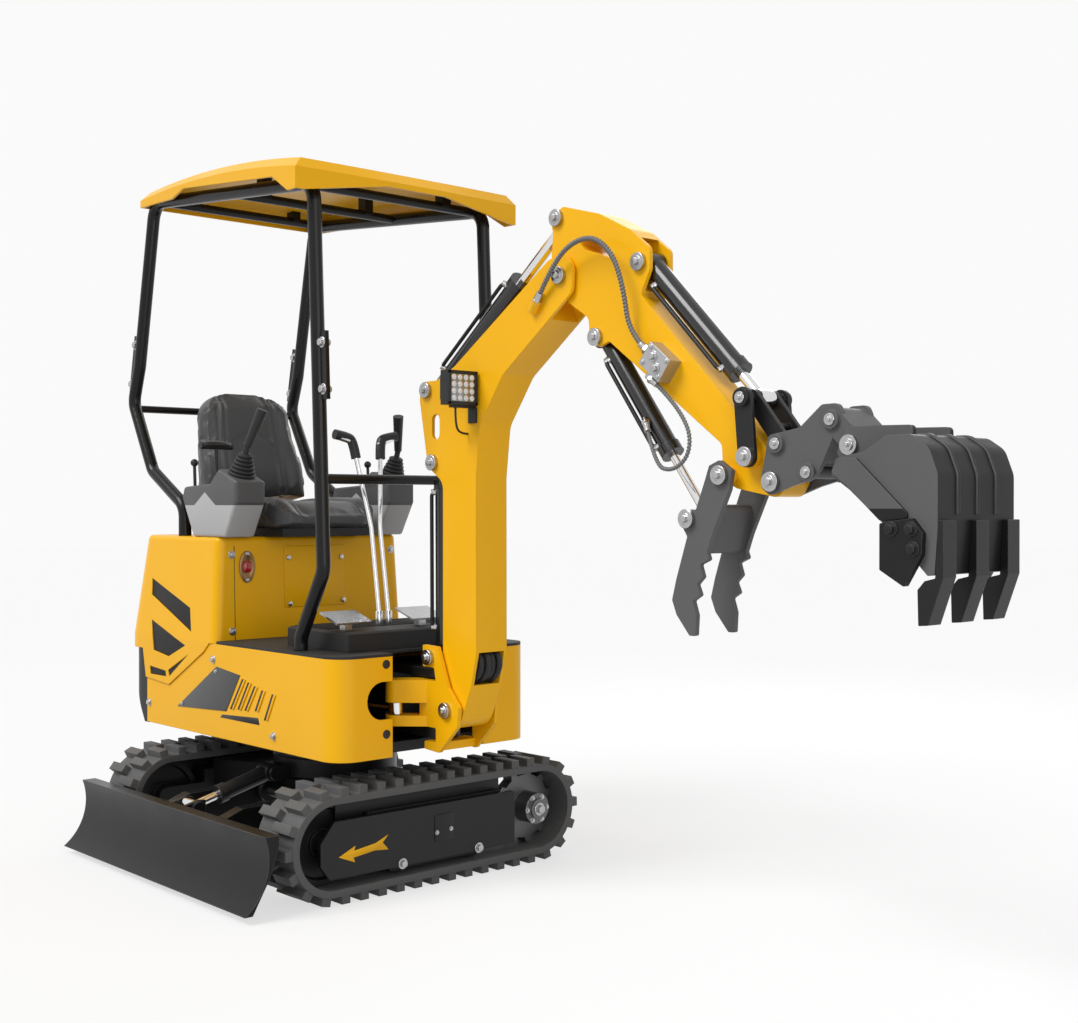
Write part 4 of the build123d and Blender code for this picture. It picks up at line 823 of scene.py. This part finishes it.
# round caps with a bolt on the pins of the digging gear, each at y, z and half width
pinCap = {"radius": 0.0222, "skirt": 0.0075, "depth": 0.0035, "wallEdge": 0.001, "rimEdge": 0.0012,
          "dish": (0.62, 0.58), "dishDepth": 0.0012, "steps": 32, "bolt": 0.0095, "small": 0.60,
          "smallBodies": ("bucket", "rocker")}
pinPlaces = {
    "bracket": ((0.641, 0.509, 0.080), (0.565, 0.650, 0.080)),
    "boom": ((1.083, 1.659, 0.063), (0.534, 1.399, 0.063), (0.562, 1.195, 0.063)),
    "arm": ((1.349, 1.663, 0.049), (1.201, 1.494, 0.049), (1.059, 1.810, 0.049),
            (1.706, 1.184, 0.080), (1.634, 1.144, 0.083), (1.766, 1.128, 0.065)),
    "rocker": ((1.694, 1.316, 0.080),),
    "bucket": ((1.926, 1.258, 0.065), (1.864, 1.147, 0.065), (1.780, 1.211, 0.065),
               (1.984, 1.202, 0.082)),
    "thumb": ((1.536, 1.045, 0.083),),
}


def addPinCaps():
    look = pinCap
    rim, depth, foot = look["radius"], look["depth"], -look["skirt"]
    outer, inner = look["dish"]
    seat = depth - look["dishDepth"]
    profile = [(0, foot), (rim, foot), (rim, depth - look["wallEdge"]),
               (rim - look["rimEdge"], depth), (rim * outer, depth), (rim * inner, seat), (0, seat)]
    blank = addTurned("capBlank", profile, look["steps"])
    for body, pins in pinPlaces.items():
        pieces = []
        share = look["small"] if body in look["smallBodies"] else 1.0
        for y, z, half in pins:
            for sign in (-1, 1):
                cap = copyOf(blank, "cap")
                cap.data.transform(Matrix.Diagonal((share, share, 1, 1)))
                pieces.append(stand(cap, (sign * half, y, z), (sign, 0, 0)))
                place = (sign * (half + depth - look["dishDepth"]), y, z)
                pieces.append(boltAt(place, (sign, 0, 0), look["bolt"] * share))
        dress(joinAll(body + "PinCaps", pieces), body, zincPlate)
    bpy.data.objects.remove(blank)


addPinCaps()
print("bolts and pin caps placed")

# tracks: hub bolts, roller caps, arrow and inspection cover
trackTrim = {"coverY": 0.529, "rollers": ((0.136, 0.076), (-0.140, 0.077)), "rollerBolt": 0.0105,
             "hubRing": 0.038, "hubY": 0.523, "hubBolts": 6, "hubBolt": 0.006,
             "capY": 0.533, "capBolt": 0.0135,
             "screws": ((0.016, 0.145), (-0.035, 0.149)), "screw": 0.0045, "screwLift": 0.002,
             "arrowProud": 0.0008, "arrowEdge": 0.0001, "hatchProud": 0.0022}
arrowShape = ((0.351, 0.128), (0.297, 0.106), (0.302, 0.120), (0.232, 0.128), (0.185, 0.124),
              (0.205, 0.146), (0.185, 0.166), (0.230, 0.148), (0.300, 0.139), (0.296, 0.152))
hatchShape = ((-0.046, 0.119), (0.023, 0.119), (0.023, 0.195), (-0.046, 0.195))


def addTrackTrim():
    look = trackTrim
    low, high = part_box("sprockets")
    hubX, hubZ = (low.x + high.x) / 2, (low.z + high.z) / 2
    bolts = []
    for sign in (-1, 1):
        axis = (0, sign, 0)
        for x, z in look["rollers"]:
            bolts.append(((x, sign * look["coverY"], z), axis, look["rollerBolt"]))
        for number in range(look["hubBolts"]):
            turn = math.tau * number / look["hubBolts"]
            x = hubX + look["hubRing"] * math.cos(turn)
            z = hubZ + look["hubRing"] * math.sin(turn)
            bolts.append(((x, sign * look["hubY"], z), axis, look["hubBolt"]))
        bolts.append(((hubX, sign * look["capY"], hubZ), axis, look["capBolt"]))
    for x, z in look["screws"]:
        bolts.append(((x, look["coverY"] + look["screwLift"], z), (0, 1, 0), look["screw"]))
    boltSet("trackBolts", "undercarriage", bolts)
    corners = [(x, look["coverY"], z) for x, z in arrowShape]
    arrow = addPlate("arrow", corners, (0, look["arrowProud"], 0), look["arrowEdge"])
    dress(arrow, "undercarriage", yellowPaint)
    corners = [(x, look["coverY"], z) for x, z in hatchShape]
    hatch = addPlate("inspectionCover", corners, (0, look["hatchProud"], 0))
    dress(hatch, "undercarriage", blackPaint)


# black sheets of painted shade inside the track loops, behind the covers, darkening the gap under
# each belt's top run
loopShadeLook = {"x": (-0.262, 0.325), "y": (0.4715, 0.4755), "z": (0.205, 0.268), "edge": 0.0012}


def addLoopShade():
    (rear, front), (low, high) = loopShadeLook["x"], loopShadeLook["z"]
    pieces = []
    for sign in (-1, 1):
        near, far = sorted(sign * y for y in loopShadeLook["y"])
        # each thin black sheet is painted shade for the shaded inside of the loop
        loopShadeSheet = addBlock("loopShadeSheet", (rear, near, low), (front, far, high), loopShadeLook["edge"])
        pieces.append(loopShadeSheet)
    dress(joinAll("trackLoopShade", pieces), "undercarriage", blackPaint)


addTrackTrim()
addLoopShade()
print("track trim placed")

# side vents, blank plate and slanted louvres on the right of the body; the louvres' slots and the
# flat slot are black strips of painted shade
sideTrim = {"bodyX": 0.350, "cowlX": 0.354, "cowlTopX": 0.336, "deck": 0.656, "cowlHeight": 0.322,
            "recess": 0.0034, "ventDepth": 0.0006, "thinEdge": 0.0001}
ventShapes = (
    ((-0.538, 0.846), (-0.274, 0.761), (-0.260, 0.676), (-0.536, 0.780)),
    ((-0.529, 0.713), (-0.293, 0.641), (-0.408, 0.592), (-0.512, 0.605)),
    ((-0.537, 0.562), (-0.424, 0.554), (-0.420, 0.528), (-0.532, 0.528)),
    ((-0.415, 0.557), (-0.272, 0.618), (-0.400, 0.530)),
)
louvreLines = (((0.031, 0.564), (-0.038, 0.469)), ((0.063, 0.557), (0.005, 0.472)),
               ((0.098, 0.549), (0.044, 0.473)), ((0.139, 0.541), (0.101, 0.477)),
               ((0.194, 0.535), (0.151, 0.456)))
# the flat slot below the louvres is a black strip of painted shade
flatSlotShade = ((-0.081, 0.448), (0.120, 0.459), (0.128, 0.439), (-0.095, 0.438))
louvreLook = {"slot": 0.013, "hood": 0.010, "slotProud": 0.0007, "hoodProud": 0.0035,
              "hoodEdge": 0.0022}


def sideOfCowl(height):
    share = max(0.0, (height - sideTrim["deck"]) / sideTrim["cowlHeight"])
    return sideTrim["cowlX"] - (sideTrim["cowlX"] - sideTrim["cowlTopX"]) * share


def addVents():
    look = sideTrim
    pieces = []
    for sign in (-1, 1):
        for shape in ventShapes:
            overSkirt = min(z for y, z in shape) < look["deck"]
            least = look["bodyX"] if overSkirt else 0.0
            corners = [(sign * max(least, sideOfCowl(z) - look["recess"]), y, z) for y, z in shape]
            push = (sign * look["ventDepth"], 0, 0)
            pieces.append(addPlate("vent", corners, push, look["thinEdge"]))
    dress(joinAll("ventInserts", pieces), "upper", ventMesh)


def slantedBar(name, line, shift, width, proud, edge):
    (topY, topZ), (footY, footZ) = line
    x, start, end = sideTrim["bodyX"], topY + shift, footY + shift
    corners = [(x, start, topZ), (x, start + width, topZ), (x, end + width, footZ), (x, end, footZ)]
    return addPlate(name, corners, (proud, 0, 0), edge)


def addLouvres():
    look, thin = louvreLook, sideTrim["thinEdge"]
    slotShades, hoods = [], []
    for line in louvreLines:
        # each slot is a thin black strip of painted shade for the shadowed gap beside its raised
        # yellow hood
        slotShades.append(slantedBar("slot", line, 0.0, look["slot"], look["slotProud"], thin))
        hoods.append(slantedBar("hood", line, look["slot"], look["hood"], look["hoodProud"],
                                look["hoodEdge"]))
    corners = [(sideTrim["bodyX"], y, z) for y, z in flatSlotShade]
    slotShades.append(addPlate("flatSlotShade", corners, (look["slotProud"], 0, 0), thin))
    dress(joinAll("louvreSlotShade", slotShades), "upper", blackPlastic)
    dress(joinAll("louvreHoods", hoods), "upper", yellowPaint)


blankPlate = {"shape": ((-0.115, 0.589), (0.021, 0.574), (-0.058, 0.460), (-0.356, 0.445)),
              "proud": 0.0022, "edge": 0.0012, "screws": ((-0.118, 0.574), (-0.325, 0.456)),
              "screw": 0.0045}


def addBlankPlate():
    look, x = blankPlate, sideTrim["bodyX"]
    corners = [(x, y, z) for y, z in look["shape"]]
    plate = addPlate("blankPlate", corners, (look["proud"], 0, 0), look["edge"])
    dress(plate, "upper", darkPlate)
    screws = [((x + look["proud"], y, z), (1, 0, 0), look["screw"]) for y, z in look["screws"]]
    boltSet("plateScrews", "upper", screws)


addVents()
addLouvres()
addBlankPlate()
print("side trim placed")

# cowl's front: access panel, seams and the oval lamp
cowlPanel = {"x": (-0.120, 0.106), "z": (0.755, 0.948), "proud": 0.0030, "edge": 0.0025}
cowlSeam = {"x": 0.281, "width": 0.0022, "z": (0.661, 0.951), "proud": 0.0003, "edge": 0.00005}
ovalLamp = {"centre": (0.239, 0.886), "half": (0.028, 0.049), "lens": (0.017, 0.019), "steps": 40,
            "screw": 0.005, "screwLift": 0.005, "screwAway": 0.040}
# share of the half width, and height in metres
bezelProfile = ((0, 0), (1, 0), (1, 0.003), (0.94, 0.0055), (0.7, 0.0065), (0.62, 0.004),
                (0, 0.004))
lensProfile = ((0, 0), (1, 0), (1, 0.004), (0.92, 0.008), (0.7, 0.0105), (0.35, 0.012),
               (0, 0.0125))


def onCowlFront(name, xs, zs, proud, edge):
    (left, right), (low, high) = xs, zs
    outline = ((left, low), (right, low), (right, high), (left, high))
    return addPlate(name, [(x, frontOfCowl(z), z) for x, z in outline], (0, proud, 0), edge)


def addCowlPanel():
    look = cowlPanel
    panel = onCowlFront("accessPanel", look["x"], look["z"], look["proud"], look["edge"])
    dress(panel, "upper", yellowPaint)
    look = cowlSeam
    xs = (look["x"], look["x"] + look["width"])
    strip = onCowlFront("cowlSeam", xs, look["z"], look["proud"], look["edge"])
    dress(strip, "upper", blackPlastic)


def addOvalLamp():
    look = ovalLamp
    x, z = look["centre"]
    y = frontOfCowl(z)
    for name, profile, half, finish, slot in (
            ("bezel", bezelProfile, look["half"], bronzeRim, "worn_steel"),
            ("lens", lensProfile, look["lens"], redLens, "black_plastic")):
        piece = addTurned(name, profile, look["steps"])
        piece.data.transform(Matrix.Diagonal((*half, 1, 1)))
        dress(stand(piece, (x, y, z), (0, 1, 0)), "upper", finish)
    screws = [((x, y + look["screwLift"], z + sign * look["screwAway"]), (0, 1, 0), look["screw"])
              for sign in (-1, 1)]
    boltSet("lampScrews", "upper", screws)


plugLook = {"places": ((0.186, 0.635), (0.185, 0.441)), "y": 0.520, "radius": 0.0125}


def addPlugs():
    look, radius = plugLook, plugLook["radius"]
    profile = [(0, 0), (radius, 0), (radius, 0.001), (radius * 0.9, 0.0025),
               (radius * 0.5, 0.0036), (0, 0.004)]
    pieces = [stand(addTurned("plug", profile), (x, look["y"], z), (0, 1, 0))
              for x, z in look["places"]]
    dress(joinAll("skirtPlugs", pieces), "upper", blackPlastic)


addCowlPanel()
addOvalLamp()
addPlugs()
print("cowl trim placed")

# work lamp's face: frame, reflector, round diodes and cooling fins
lampFace = {"x": (0.061, 0.161), "z": (1.344, 1.436), "y": 0.762, "frame": 0.009, "back": 0.002,
            "proud": 0.004, "rimEdge": 0.0015, "plateHalf": 0.001, "plateEdge": 0.0004,
            "rows": 4, "columns": 4, "diode": 0.0082, "diodeSteps": 20,
            "fins": 7, "finX": 0.014, "finHalf": 0.0018, "finY": (0.050, 0.030), "finZ": 0.016,
            "finEdge": 0.0006}


def addLampFace():
    look = lampFace
    (left, right), (low, high), y, rim = look["x"], look["z"], look["y"], look["frame"]
    back, front = y - look["back"], y + look["proud"]
    pieces = []
    for near, far, foot, top in ((left, right, low, low + rim), (left, right, high - rim, high),
                                 (left, left + rim, low, high), (right - rim, right, low, high)):
        pieces.append(addBlock("rim", (near, back, foot), (far, front, top), look["rimEdge"]))
    rear, root = (y - depth for depth in look["finY"])
    half, foot, top = look["finHalf"], low + look["finZ"], high - look["finZ"]
    for number in range(look["fins"]):
        reach = right - left - 2 * look["finX"]
        x = left + look["finX"] + reach * number / (look["fins"] - 1)
        fin = addBlock("fin", (x - half, rear, foot), (x + half, root, top), look["finEdge"])
        pieces.append(fin)
    dress(joinAll("lampFrame", pieces), "boom", blackPlastic)
    half = look["plateHalf"]
    plate = addBlock("reflector", (left + rim, y - half, low + rim),
                     (right - rim, y + half, high - rim), look["plateEdge"])
    dress(plate, "boom", lampBack)
    radius = look["diode"]
    profile = [(0, 0), (radius, 0), (radius, 0.0015), (radius * 0.85, 0.003),
               (radius * 0.45, 0.0042), (0, 0.0046)]
    blank = addTurned("diode", profile, look["diodeSteps"])
    diodes = []
    for row in range(look["rows"]):
        for column in range(look["columns"]):
            x = left + rim + (right - left - 2 * rim) * (column + 0.5) / look["columns"]
            z = low + rim + (high - low - 2 * rim) * (row + 0.5) / look["rows"]
            diodes.append(stand(copyOf(blank, "diode"), (x, y + half, z), (0, 1, 0)))
    bpy.data.objects.remove(blank)
    dress(joinAll("lampDiodes", diodes), "boom", clearLens)


addLampFace()
print("work lamp dressed")

# controls: ribbed boots on the joysticks and sleeves on the travel levers
bootLook = {"x": 0.282, "foot": (-0.0845, 1.1665), "axis": (0.348, 0.937), "rings": 6,
            "low": 0.005, "step": 0.0115, "wide": 0.036, "narrow": 0.018, "thick": 0.0055}
sleeveLook = {"points": ((0.045, 0.176, 1.216), (0.050, 0.167, 1.268), (0.068, 0.164, 1.280),
                         (0.113, 0.162, 1.287)),
              "radius": 0.0150, "edge": 0.004, "segments": 3, "angle": 60}


def addBoots():
    look = bootLook
    (footY, footZ), (axisY, axisZ) = look["foot"], look["axis"]
    rings = []
    for side in (-1, 1):
        for number in range(look["rings"]):
            along = look["low"] + number * look["step"]
            share = number / (look["rings"] - 1)
            radius = look["wide"] + (look["narrow"] - look["wide"]) * share
            clearSelection()
            bpy.ops.mesh.primitive_torus_add(major_radius=radius, minor_radius=look["thick"],
                                             major_segments=36, minor_segments=10)
            ring = bpy.context.object
            pick(ring)
            bpy.ops.object.shade_smooth()
            place = (side * look["x"], footY + along * axisY, footZ + along * axisZ)
            rings.append(stand(ring, place, (0, axisY, axisZ)))
    dress(joinAll("joystickBoots", rings), "upper", floorRubber)


# round runs drawn as curves
tubeLook = {"resolution": 8, "bevel": 5, "smooth": 60}


def drawCurve(name, points, resolution):
    data = bpy.data.curves.new(name, "CURVE")
    data.dimensions = "3D"
    spline = data.splines.new("NURBS")
    spline.points.add(len(points) - 1)
    for knot, point in zip(spline.points, points):
        knot.co = (*point, 1)
    spline.order_u = 3
    spline.use_endpoint_u = True
    spline.resolution_u = resolution
    piece = bpy.data.objects.new(name, data)
    bpy.context.scene.collection.objects.link(piece)
    return piece


def thicken(curve, radius, resolution):
    curve.data.bevel_depth = radius
    curve.data.bevel_resolution = resolution
    curve.data.use_fill_caps = True


def addTube(name, points, radius):
    piece = drawCurve(name, points, tubeLook["resolution"])
    thicken(piece, radius, tubeLook["bevel"])
    pick(piece)
    bpy.ops.object.convert(target="MESH")
    return piece


def addSleeves():
    look = sleeveLook
    pieces = []
    for side in (-1, 1):
        points = [(side * x, y, z) for x, y, z in look["points"]]
        sleeve = addTube("sleeve", points, look["radius"])
        roundEdges(sleeve, look["edge"], look["segments"], look["angle"])
        pieces.append(sleeve)
    dress(joinAll("leverSleeves", pieces), "upper", blackPlastic)


addBoots()
addSleeves()
print("controls dressed")

# ribbed mat on the floor box
matLook = {"x": (-0.235, 0.235), "y": (0.135, 0.300), "top": 0.720, "ribs": 9, "width": 0.006,
           "height": 0.0025, "root": 0.001, "edge": 0.001}


def addMatRibs():
    look = matLook
    (left, right), (near, far) = look["x"], look["y"]
    half, foot, top = look["width"] / 2, look["top"] - look["root"], look["top"] + look["height"]
    ribs = []
    for number in range(look["ribs"]):
        y = near + (far - near) * number / (look["ribs"] - 1)
        ribs.append(addBlock("rib", (left, y - half, foot), (right, y + half, top), look["edge"]))
    dress(joinAll("matRibs", ribs), "upper", floorRubber)


addMatRibs()

# bucket: bolts of the side cutters
cutterBolts = {"x": 0.154, "places": ((2.139, 1.030), (2.184, 1.030), (2.189, 0.992)),
               "radius": 0.0105}


def addCutterBolts():
    look = cutterBolts
    bolts = [((sign * look["x"], y, z), (sign, 0, 0), look["radius"])
             for sign in (-1, 1) for y, z in look["places"]]
    boltSet("cutterBolts", "bucket", bolts).data.materials[0] = toothSteel


addCutterBolts()

# steel pipes along the barrels, from the foot port to the gland port:
# base pin, rod eye, barrel's radius and length, and the side that the pipe is on
pipeLook = {"radius": 0.0055, "stand": 0.010, "port": 0.0095, "portSteps": 12,
            "outward": 0.75, "upward": 0.66, "sunk": 0.9, "start": 0.16, "end": 0.035, "bend": 0.03}
pipeRuns = {
    "boom_barrel": ((0.565, 0.650), (0.562, 1.195), 0.037, 0.498, 1),
    "arm_barrel": ((0.534, 1.399), (1.059, 1.810), 0.032, 0.440, 1),
    "bucket_barrel": ((1.349, 1.663), (1.694, 1.316), 0.027, 0.400, -1),
    "thumb_barrel": ((1.201, 1.494), (1.536, 1.045), 0.025, 0.370, -1),
}


def addPipes():
    look, port = pipeLook, pipeLook["port"]
    profile = [(0, -0.004), (port, -0.004), (port, 0.006), (port * 0.8, 0.007),
               (port * 0.8, 0.012), (0, 0.012)]
    for body, (base, eye, radius, length, side) in pipeRuns.items():
        foot = Vector((0, *base))
        along = Vector((0, eye[0] - base[0], eye[1] - base[1])).normalized()
        across = Vector((look["outward"], -along.z * look["upward"] * side,
                         along.y * look["upward"] * side)).normalized()
        near, far = radius * look["sunk"], radius + look["stand"]
        start, end, bend = look["start"] * length, length - look["end"], look["bend"]
        run = ((start, near), (start, far), (start + bend, far), (end - bend, far), (end, far),
               (end, near))
        points = [foot + along * place + across * away for place, away in run]
        pipe = addTube(body + "Pipe", points, look["radius"])
        smoothByAngle(pipe, tubeLook["smooth"])
        dress(pipe, body, blackPaint)
        ports = [stand(addTurned("port", profile, look["portSteps"]),
                       foot + along * place + across * radius, across) for place in (start, end)]
        dress(joinAll(body + "Ports", ports), body, zincPlate)


addPipes()
print("pipes placed")

# sleeved pipes that show in the opening at the boom's foot
boomPipes = {"x": (-0.030, -0.010, 0.010, 0.030), "radius": 0.0095, "stagger": 0.006,
             "points": ((0.690, 0.672), (0.738, 0.672), (0.752, 0.640), (0.735, 0.606),
                        (0.700, 0.587))}


def addBoomPipes():
    look = boomPipes
    pieces = []
    for number, x in enumerate(look["x"]):
        shift = look["stagger"] if number % 2 else 0.0
        points = [(x, y - shift, z) for y, z in look["points"]]
        pieces.append(addTube("sleeved", points, look["radius"]))
    pipes = joinAll("boomPipes", pieces)
    smoothByAngle(pipes, tubeLook["smooth"])
    dress(pipes, "boom", floorRubber)


addBoomPipes()

# valve block's screws and plugs, and the ferrules on the hoses:
# body, place, direction, radius and length
valveLook = {"centre": (1.435, 1.413), "face": 0.081, "turn": math.radians(-38.0),
             "screws": (0.031, 0.022), "screw": 0.0048,
             "plugs": ((-0.012, 0.008), (0.012, -0.010)), "plug": 0.0095}
ferruleLook = {"back": 0.010, "steps": 20, "nut": 1.3, "nutLength": 0.32,
               "waist": 0.92, "tip": 0.86, "collarEnd": 0.55, "waistStart": 0.6, "waistEnd": 0.94}
ferrules = (("boom", (0.0660, 1.0100, 1.6030), (0.0120, 0.0540, 0.0590), 0.0105, 0.034),
            ("arm", (0.0610, 1.3893, 1.4487), (0.0, -0.0552, 0.0431), 0.0105, 0.030),
            ("arm", (0.0610, 1.4124, 1.3710), (0.0, 0.0425, -0.0332), 0.0088, 0.028),
            ("thumb_barrel", (0.0343, 1.3656, 1.2698), (0.0277, 0.0554, -0.0988), 0.0088, 0.030))


def onValve(forward, up):
    (y, z), turn = valveLook["centre"], valveLook["turn"]
    return (valveLook["face"], y + forward * math.cos(turn) - up * math.sin(turn),
            z + forward * math.sin(turn) + up * math.cos(turn))


def addValveTrim():
    look = valveLook
    forward, up = look["screws"]
    bolts = [(onValve(a * forward, b * up), (1, 0, 0), look["screw"])
             for a in (-1, 1) for b in (-1, 1)]
    bolts += [(onValve(*place), (1, 0, 0), look["plug"]) for place in look["plugs"]]
    boltSet("valveScrews", "arm", bolts)


def addFerrules():
    look = ferruleLook
    for number, (body, place, way, radius, length) in enumerate(ferrules):
        waist = radius * look["waist"]
        nutRadius, nutLength = radius * look["nut"], length * look["nutLength"]
        profile = [(0, 0), (radius, 0), (radius, length * look["collarEnd"]),
                   (waist, length * look["waistStart"]), (waist, length * look["waistEnd"]),
                   (radius * look["tip"], length), (0, length)]
        sleeve = addTurned("ferrule", profile, look["steps"])
        nut = addTurned("nut", [(0, 0), (nutRadius, 0), (nutRadius, nutLength), (0, nutLength)], 6)
        start = Vector(place) - Vector(way).normalized() * look["back"]
        whole = stand(joinAll("ferrule" + str(number + 1), [sleeve, nut]), start, way)
        dress(whole, body, zincPlate)


addValveTrim()
addFerrules()
print("boom pipes and valve trim placed")

# spiral guarded hoses and the lamp's cable
hoseLook = {"pitch": 0.0085, "depth": 0.30, "sides": 16, "resolution": 80, "smooth": 60}
cableLook = {"diameter": 0.006, "resolution": 24, "bevel": 4, "measure": 40}
# node that the hose stands for, diameter, the two bodies it joins, and its route between them
hoseRuns = {
    "armHose": ("arm_hose", 0.014, ("boom", "arm"), (
        (0.0660, 1.0100, 1.6030), (0.0780, 1.0640, 1.6620), (0.0860, 1.1400, 1.7240),
        (0.0860, 1.2320, 1.7380), (0.0840, 1.3020, 1.6840), (0.0800, 1.3340, 1.5940),
        (0.0610, 1.3341, 1.4918), (0.0610, 1.3893, 1.4487))),
    "thumbHose": ("thumb_hose", 0.011, ("arm", "thumb_barrel"), (
        (0.0610, 1.4124, 1.3710), (0.0610, 1.4549, 1.3378), (0.0720, 1.5160, 1.2850),
        (0.0760, 1.5460, 1.2350), (0.0760, 1.5350, 1.1830), (0.0720, 1.4810, 1.1550),
        (0.0620, 1.4210, 1.1710), (0.0343, 1.3656, 1.2698))),
}
lampCableRoute = ((0.105, 0.724, 1.338), (0.105, 0.724, 1.296), (0.085, 0.716, 1.270),
                  (0.055, 0.716, 1.270))


def pathOf(route, resolution):
    curve = drawCurve("route", route, resolution)
    mesh = bpy.data.meshes.new_from_object(curve)
    points = [vertex.co.copy() for vertex in mesh.vertices]
    bpy.data.objects.remove(curve)
    bpy.data.meshes.remove(mesh)
    return points


def lengthOf(points):
    return sum((after - before).length for before, after in zip(points, points[1:]))


def guardedHose(name, route, diameter):
    # rings with a wound ridge, set square to the path
    points = pathOf(route, hoseLook["resolution"])
    sides, pitch = hoseLook["sides"], hoseLook["pitch"]
    corners, faces = [], []
    along, side = 0.0, None
    for number, point in enumerate(points):
        before = points[max(0, number - 1)]
        after = points[min(len(points) - 1, number + 1)]
        way = (after - before).normalized()
        side = way.orthogonal() if side is None else side - way * side.dot(way)
        side.normalize()
        up = way.cross(side)
        along += (point - before).length
        for corner in range(sides):
            turn = math.tau * corner / sides
            wound = math.sin(math.tau * along / pitch - turn)
            radius = diameter / 2 * (1 + hoseLook["depth"] * (wound - 1) / 2)
            corners.append(point + (side * math.cos(turn) + up * math.sin(turn)) * radius)
    for ring in range(len(points) - 1):
        for corner in range(sides):
            following = (corner + 1) % sides
            here, there = ring * sides, (ring + 1) * sides
            faces.append((here + corner, here + following, there + following, there + corner))
    faces.append(tuple(reversed(range(sides))))
    faces.append(tuple(range((len(points) - 1) * sides, len(points) * sides)))
    mesh = bpy.data.meshes.new(name)
    mesh.from_pydata(corners, [], faces)
    piece = bpy.data.objects.new(name, mesh)
    bpy.context.scene.collection.objects.link(piece)
    smoothByAngle(piece, hoseLook["smooth"])
    return piece, points


def addHoses():
    for name, (node, diameter, (first, second), route) in hoseRuns.items():
        hose, points = guardedHose(name, route, diameter)
        hose.data.materials.append(hoseRubber)
        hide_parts(node)
        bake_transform(hose)


def addLampCable():
    look, route = cableLook, lampCableRoute
    cable = drawCurve("lampCable", route, look["resolution"])
    thicken(cable, look["diameter"] / 2, look["bevel"])
    dress(cable, "boom", blackPlastic)
    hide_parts("lamp_cable")
    lengthOf(pathOf(route, look["measure"]))


addHoses()
addLampCable()
bpy.data.objects.remove(boltBlank)
print("hoses placed")


# camera at the photograph's place
cameraPlace = {"location": (2.5875, 3.7916, 1.0799), "heading": 227.74, "pitch": -0.31,
               "lens": 48.73, "sensor": 36.0, "clipEnd": 200.0}


def addCamera():
    look = cameraPlace
    data = bpy.data.cameras.new("camera")
    data.lens = look["lens"]
    data.sensor_width = look["sensor"]
    data.clip_end = look["clipEnd"]
    camera = bpy.data.objects.new("camera", data)
    bpy.context.scene.collection.objects.link(camera)
    heading, pitch = math.radians(look["heading"]), math.radians(look["pitch"])
    level = math.cos(pitch)
    way = Vector((level * math.cos(heading), level * math.sin(heading), math.sin(pitch)))
    camera.location = look["location"]
    camera.rotation_mode = "QUATERNION"
    camera.rotation_quaternion = way.to_track_quat("-Z", "Y")
    bpy.context.scene.camera = camera


# pale floor, white surround and soft lamps
stageLook = {"floorSize": 60.0, "floor": (0.93, 0.93, 0.93), "bounce": (0.45, 0.45, 0.45),
             "floorRough": 0.9, "floorSpecular": 0.1, "glow": 0.7, "floorPale": 0.926,
             "pale": 0.955, "worldStrength": 0.5}
sunLook = {"place": (3.6, -0.4, 5.2), "strength": 2.4, "angle": 32.0}
lampAim = (0, 0.6, 0.9)
# name, place, size and power
lamps = (("fill", (1.5, 5.5, 2.0), 3.5, 75.0), ("rim", (-4.0, -1.0, 3.5), 2.5, 40.0))


def cameraShare(tree):
    # one for the rays that show the background, nought for those that light the object
    rays = tree.nodes.new("ShaderNodeLightPath").outputs
    share = mathNode(tree, "MAXIMUM", rays["Is Camera Ray"], rays["Is Glossy Ray"])
    return mathNode(tree, "MAXIMUM", share, rays["Is Transmission Ray"])


def addFloor():
    look = stageLook
    clearSelection()
    bpy.ops.mesh.primitive_plane_add(size=look["floorSize"])
    floor = bpy.context.object
    floor.name = "floor"
    material, tree, shader = startMaterial("paleFloor")
    seen = cameraShare(tree)
    colour = mixColour(tree, seen, look["bounce"], look["floor"])
    tree.links.new(colour, shader.inputs["Base Color"])
    shader.inputs["Roughness"].default_value = look["floorRough"]
    shader.inputs["Specular IOR Level"].default_value = look["floorSpecular"]
    glow = tree.nodes.new("ShaderNodeEmission")
    glow.inputs["Strength"].default_value = look["floorPale"]
    mix = tree.nodes.new("ShaderNodeMixShader")
    tree.links.new(mathNode(tree, "MULTIPLY", seen, look["glow"]), mix.inputs["Fac"])
    tree.links.new(shader.outputs["BSDF"], mix.inputs[1])
    tree.links.new(glow.outputs["Emission"], mix.inputs[2])
    tree.links.new(mix.outputs["Shader"], tree.nodes["Material Output"].inputs["Surface"])
    floor.data.materials.append(material)


def addWorld():
    world = bpy.data.worlds.new("studio")
    bpy.context.scene.world = world
    world.use_nodes = True
    tree = world.node_tree
    background = tree.nodes["Background"]
    background.inputs["Color"].default_value = (1, 1, 1, 1)
    share = cameraShare(tree)
    strength = tree.nodes.new("ShaderNodeMapRange")
    tree.links.new(share, strength.inputs["Value"])
    strength.inputs["To Min"].default_value = stageLook["worldStrength"]
    strength.inputs["To Max"].default_value = stageLook["pale"]
    tree.links.new(strength.outputs["Result"], background.inputs["Strength"])


def aimLamp(light, place):
    lamp = bpy.data.objects.new(light.name, light)
    bpy.context.scene.collection.objects.link(lamp)
    lamp.location = place
    lamp.rotation_mode = "QUATERNION"
    lamp.rotation_quaternion = (Vector(lampAim) - Vector(place)).to_track_quat("-Z", "Y")


def addLamps():
    sun = bpy.data.lights.new("sun", "SUN")
    sun.energy = sunLook["strength"]
    sun.angle = math.radians(sunLook["angle"])
    aimLamp(sun, sunLook["place"])
    for name, place, size, power in lamps:
        light = bpy.data.lights.new(name, "AREA")
        light.size = size
        light.energy = power
        aimLamp(light, place)


addCamera()
addFloor()
addWorld()
addLamps()
bpy.context.scene.view_settings.view_transform = "Standard"
print("stage set")
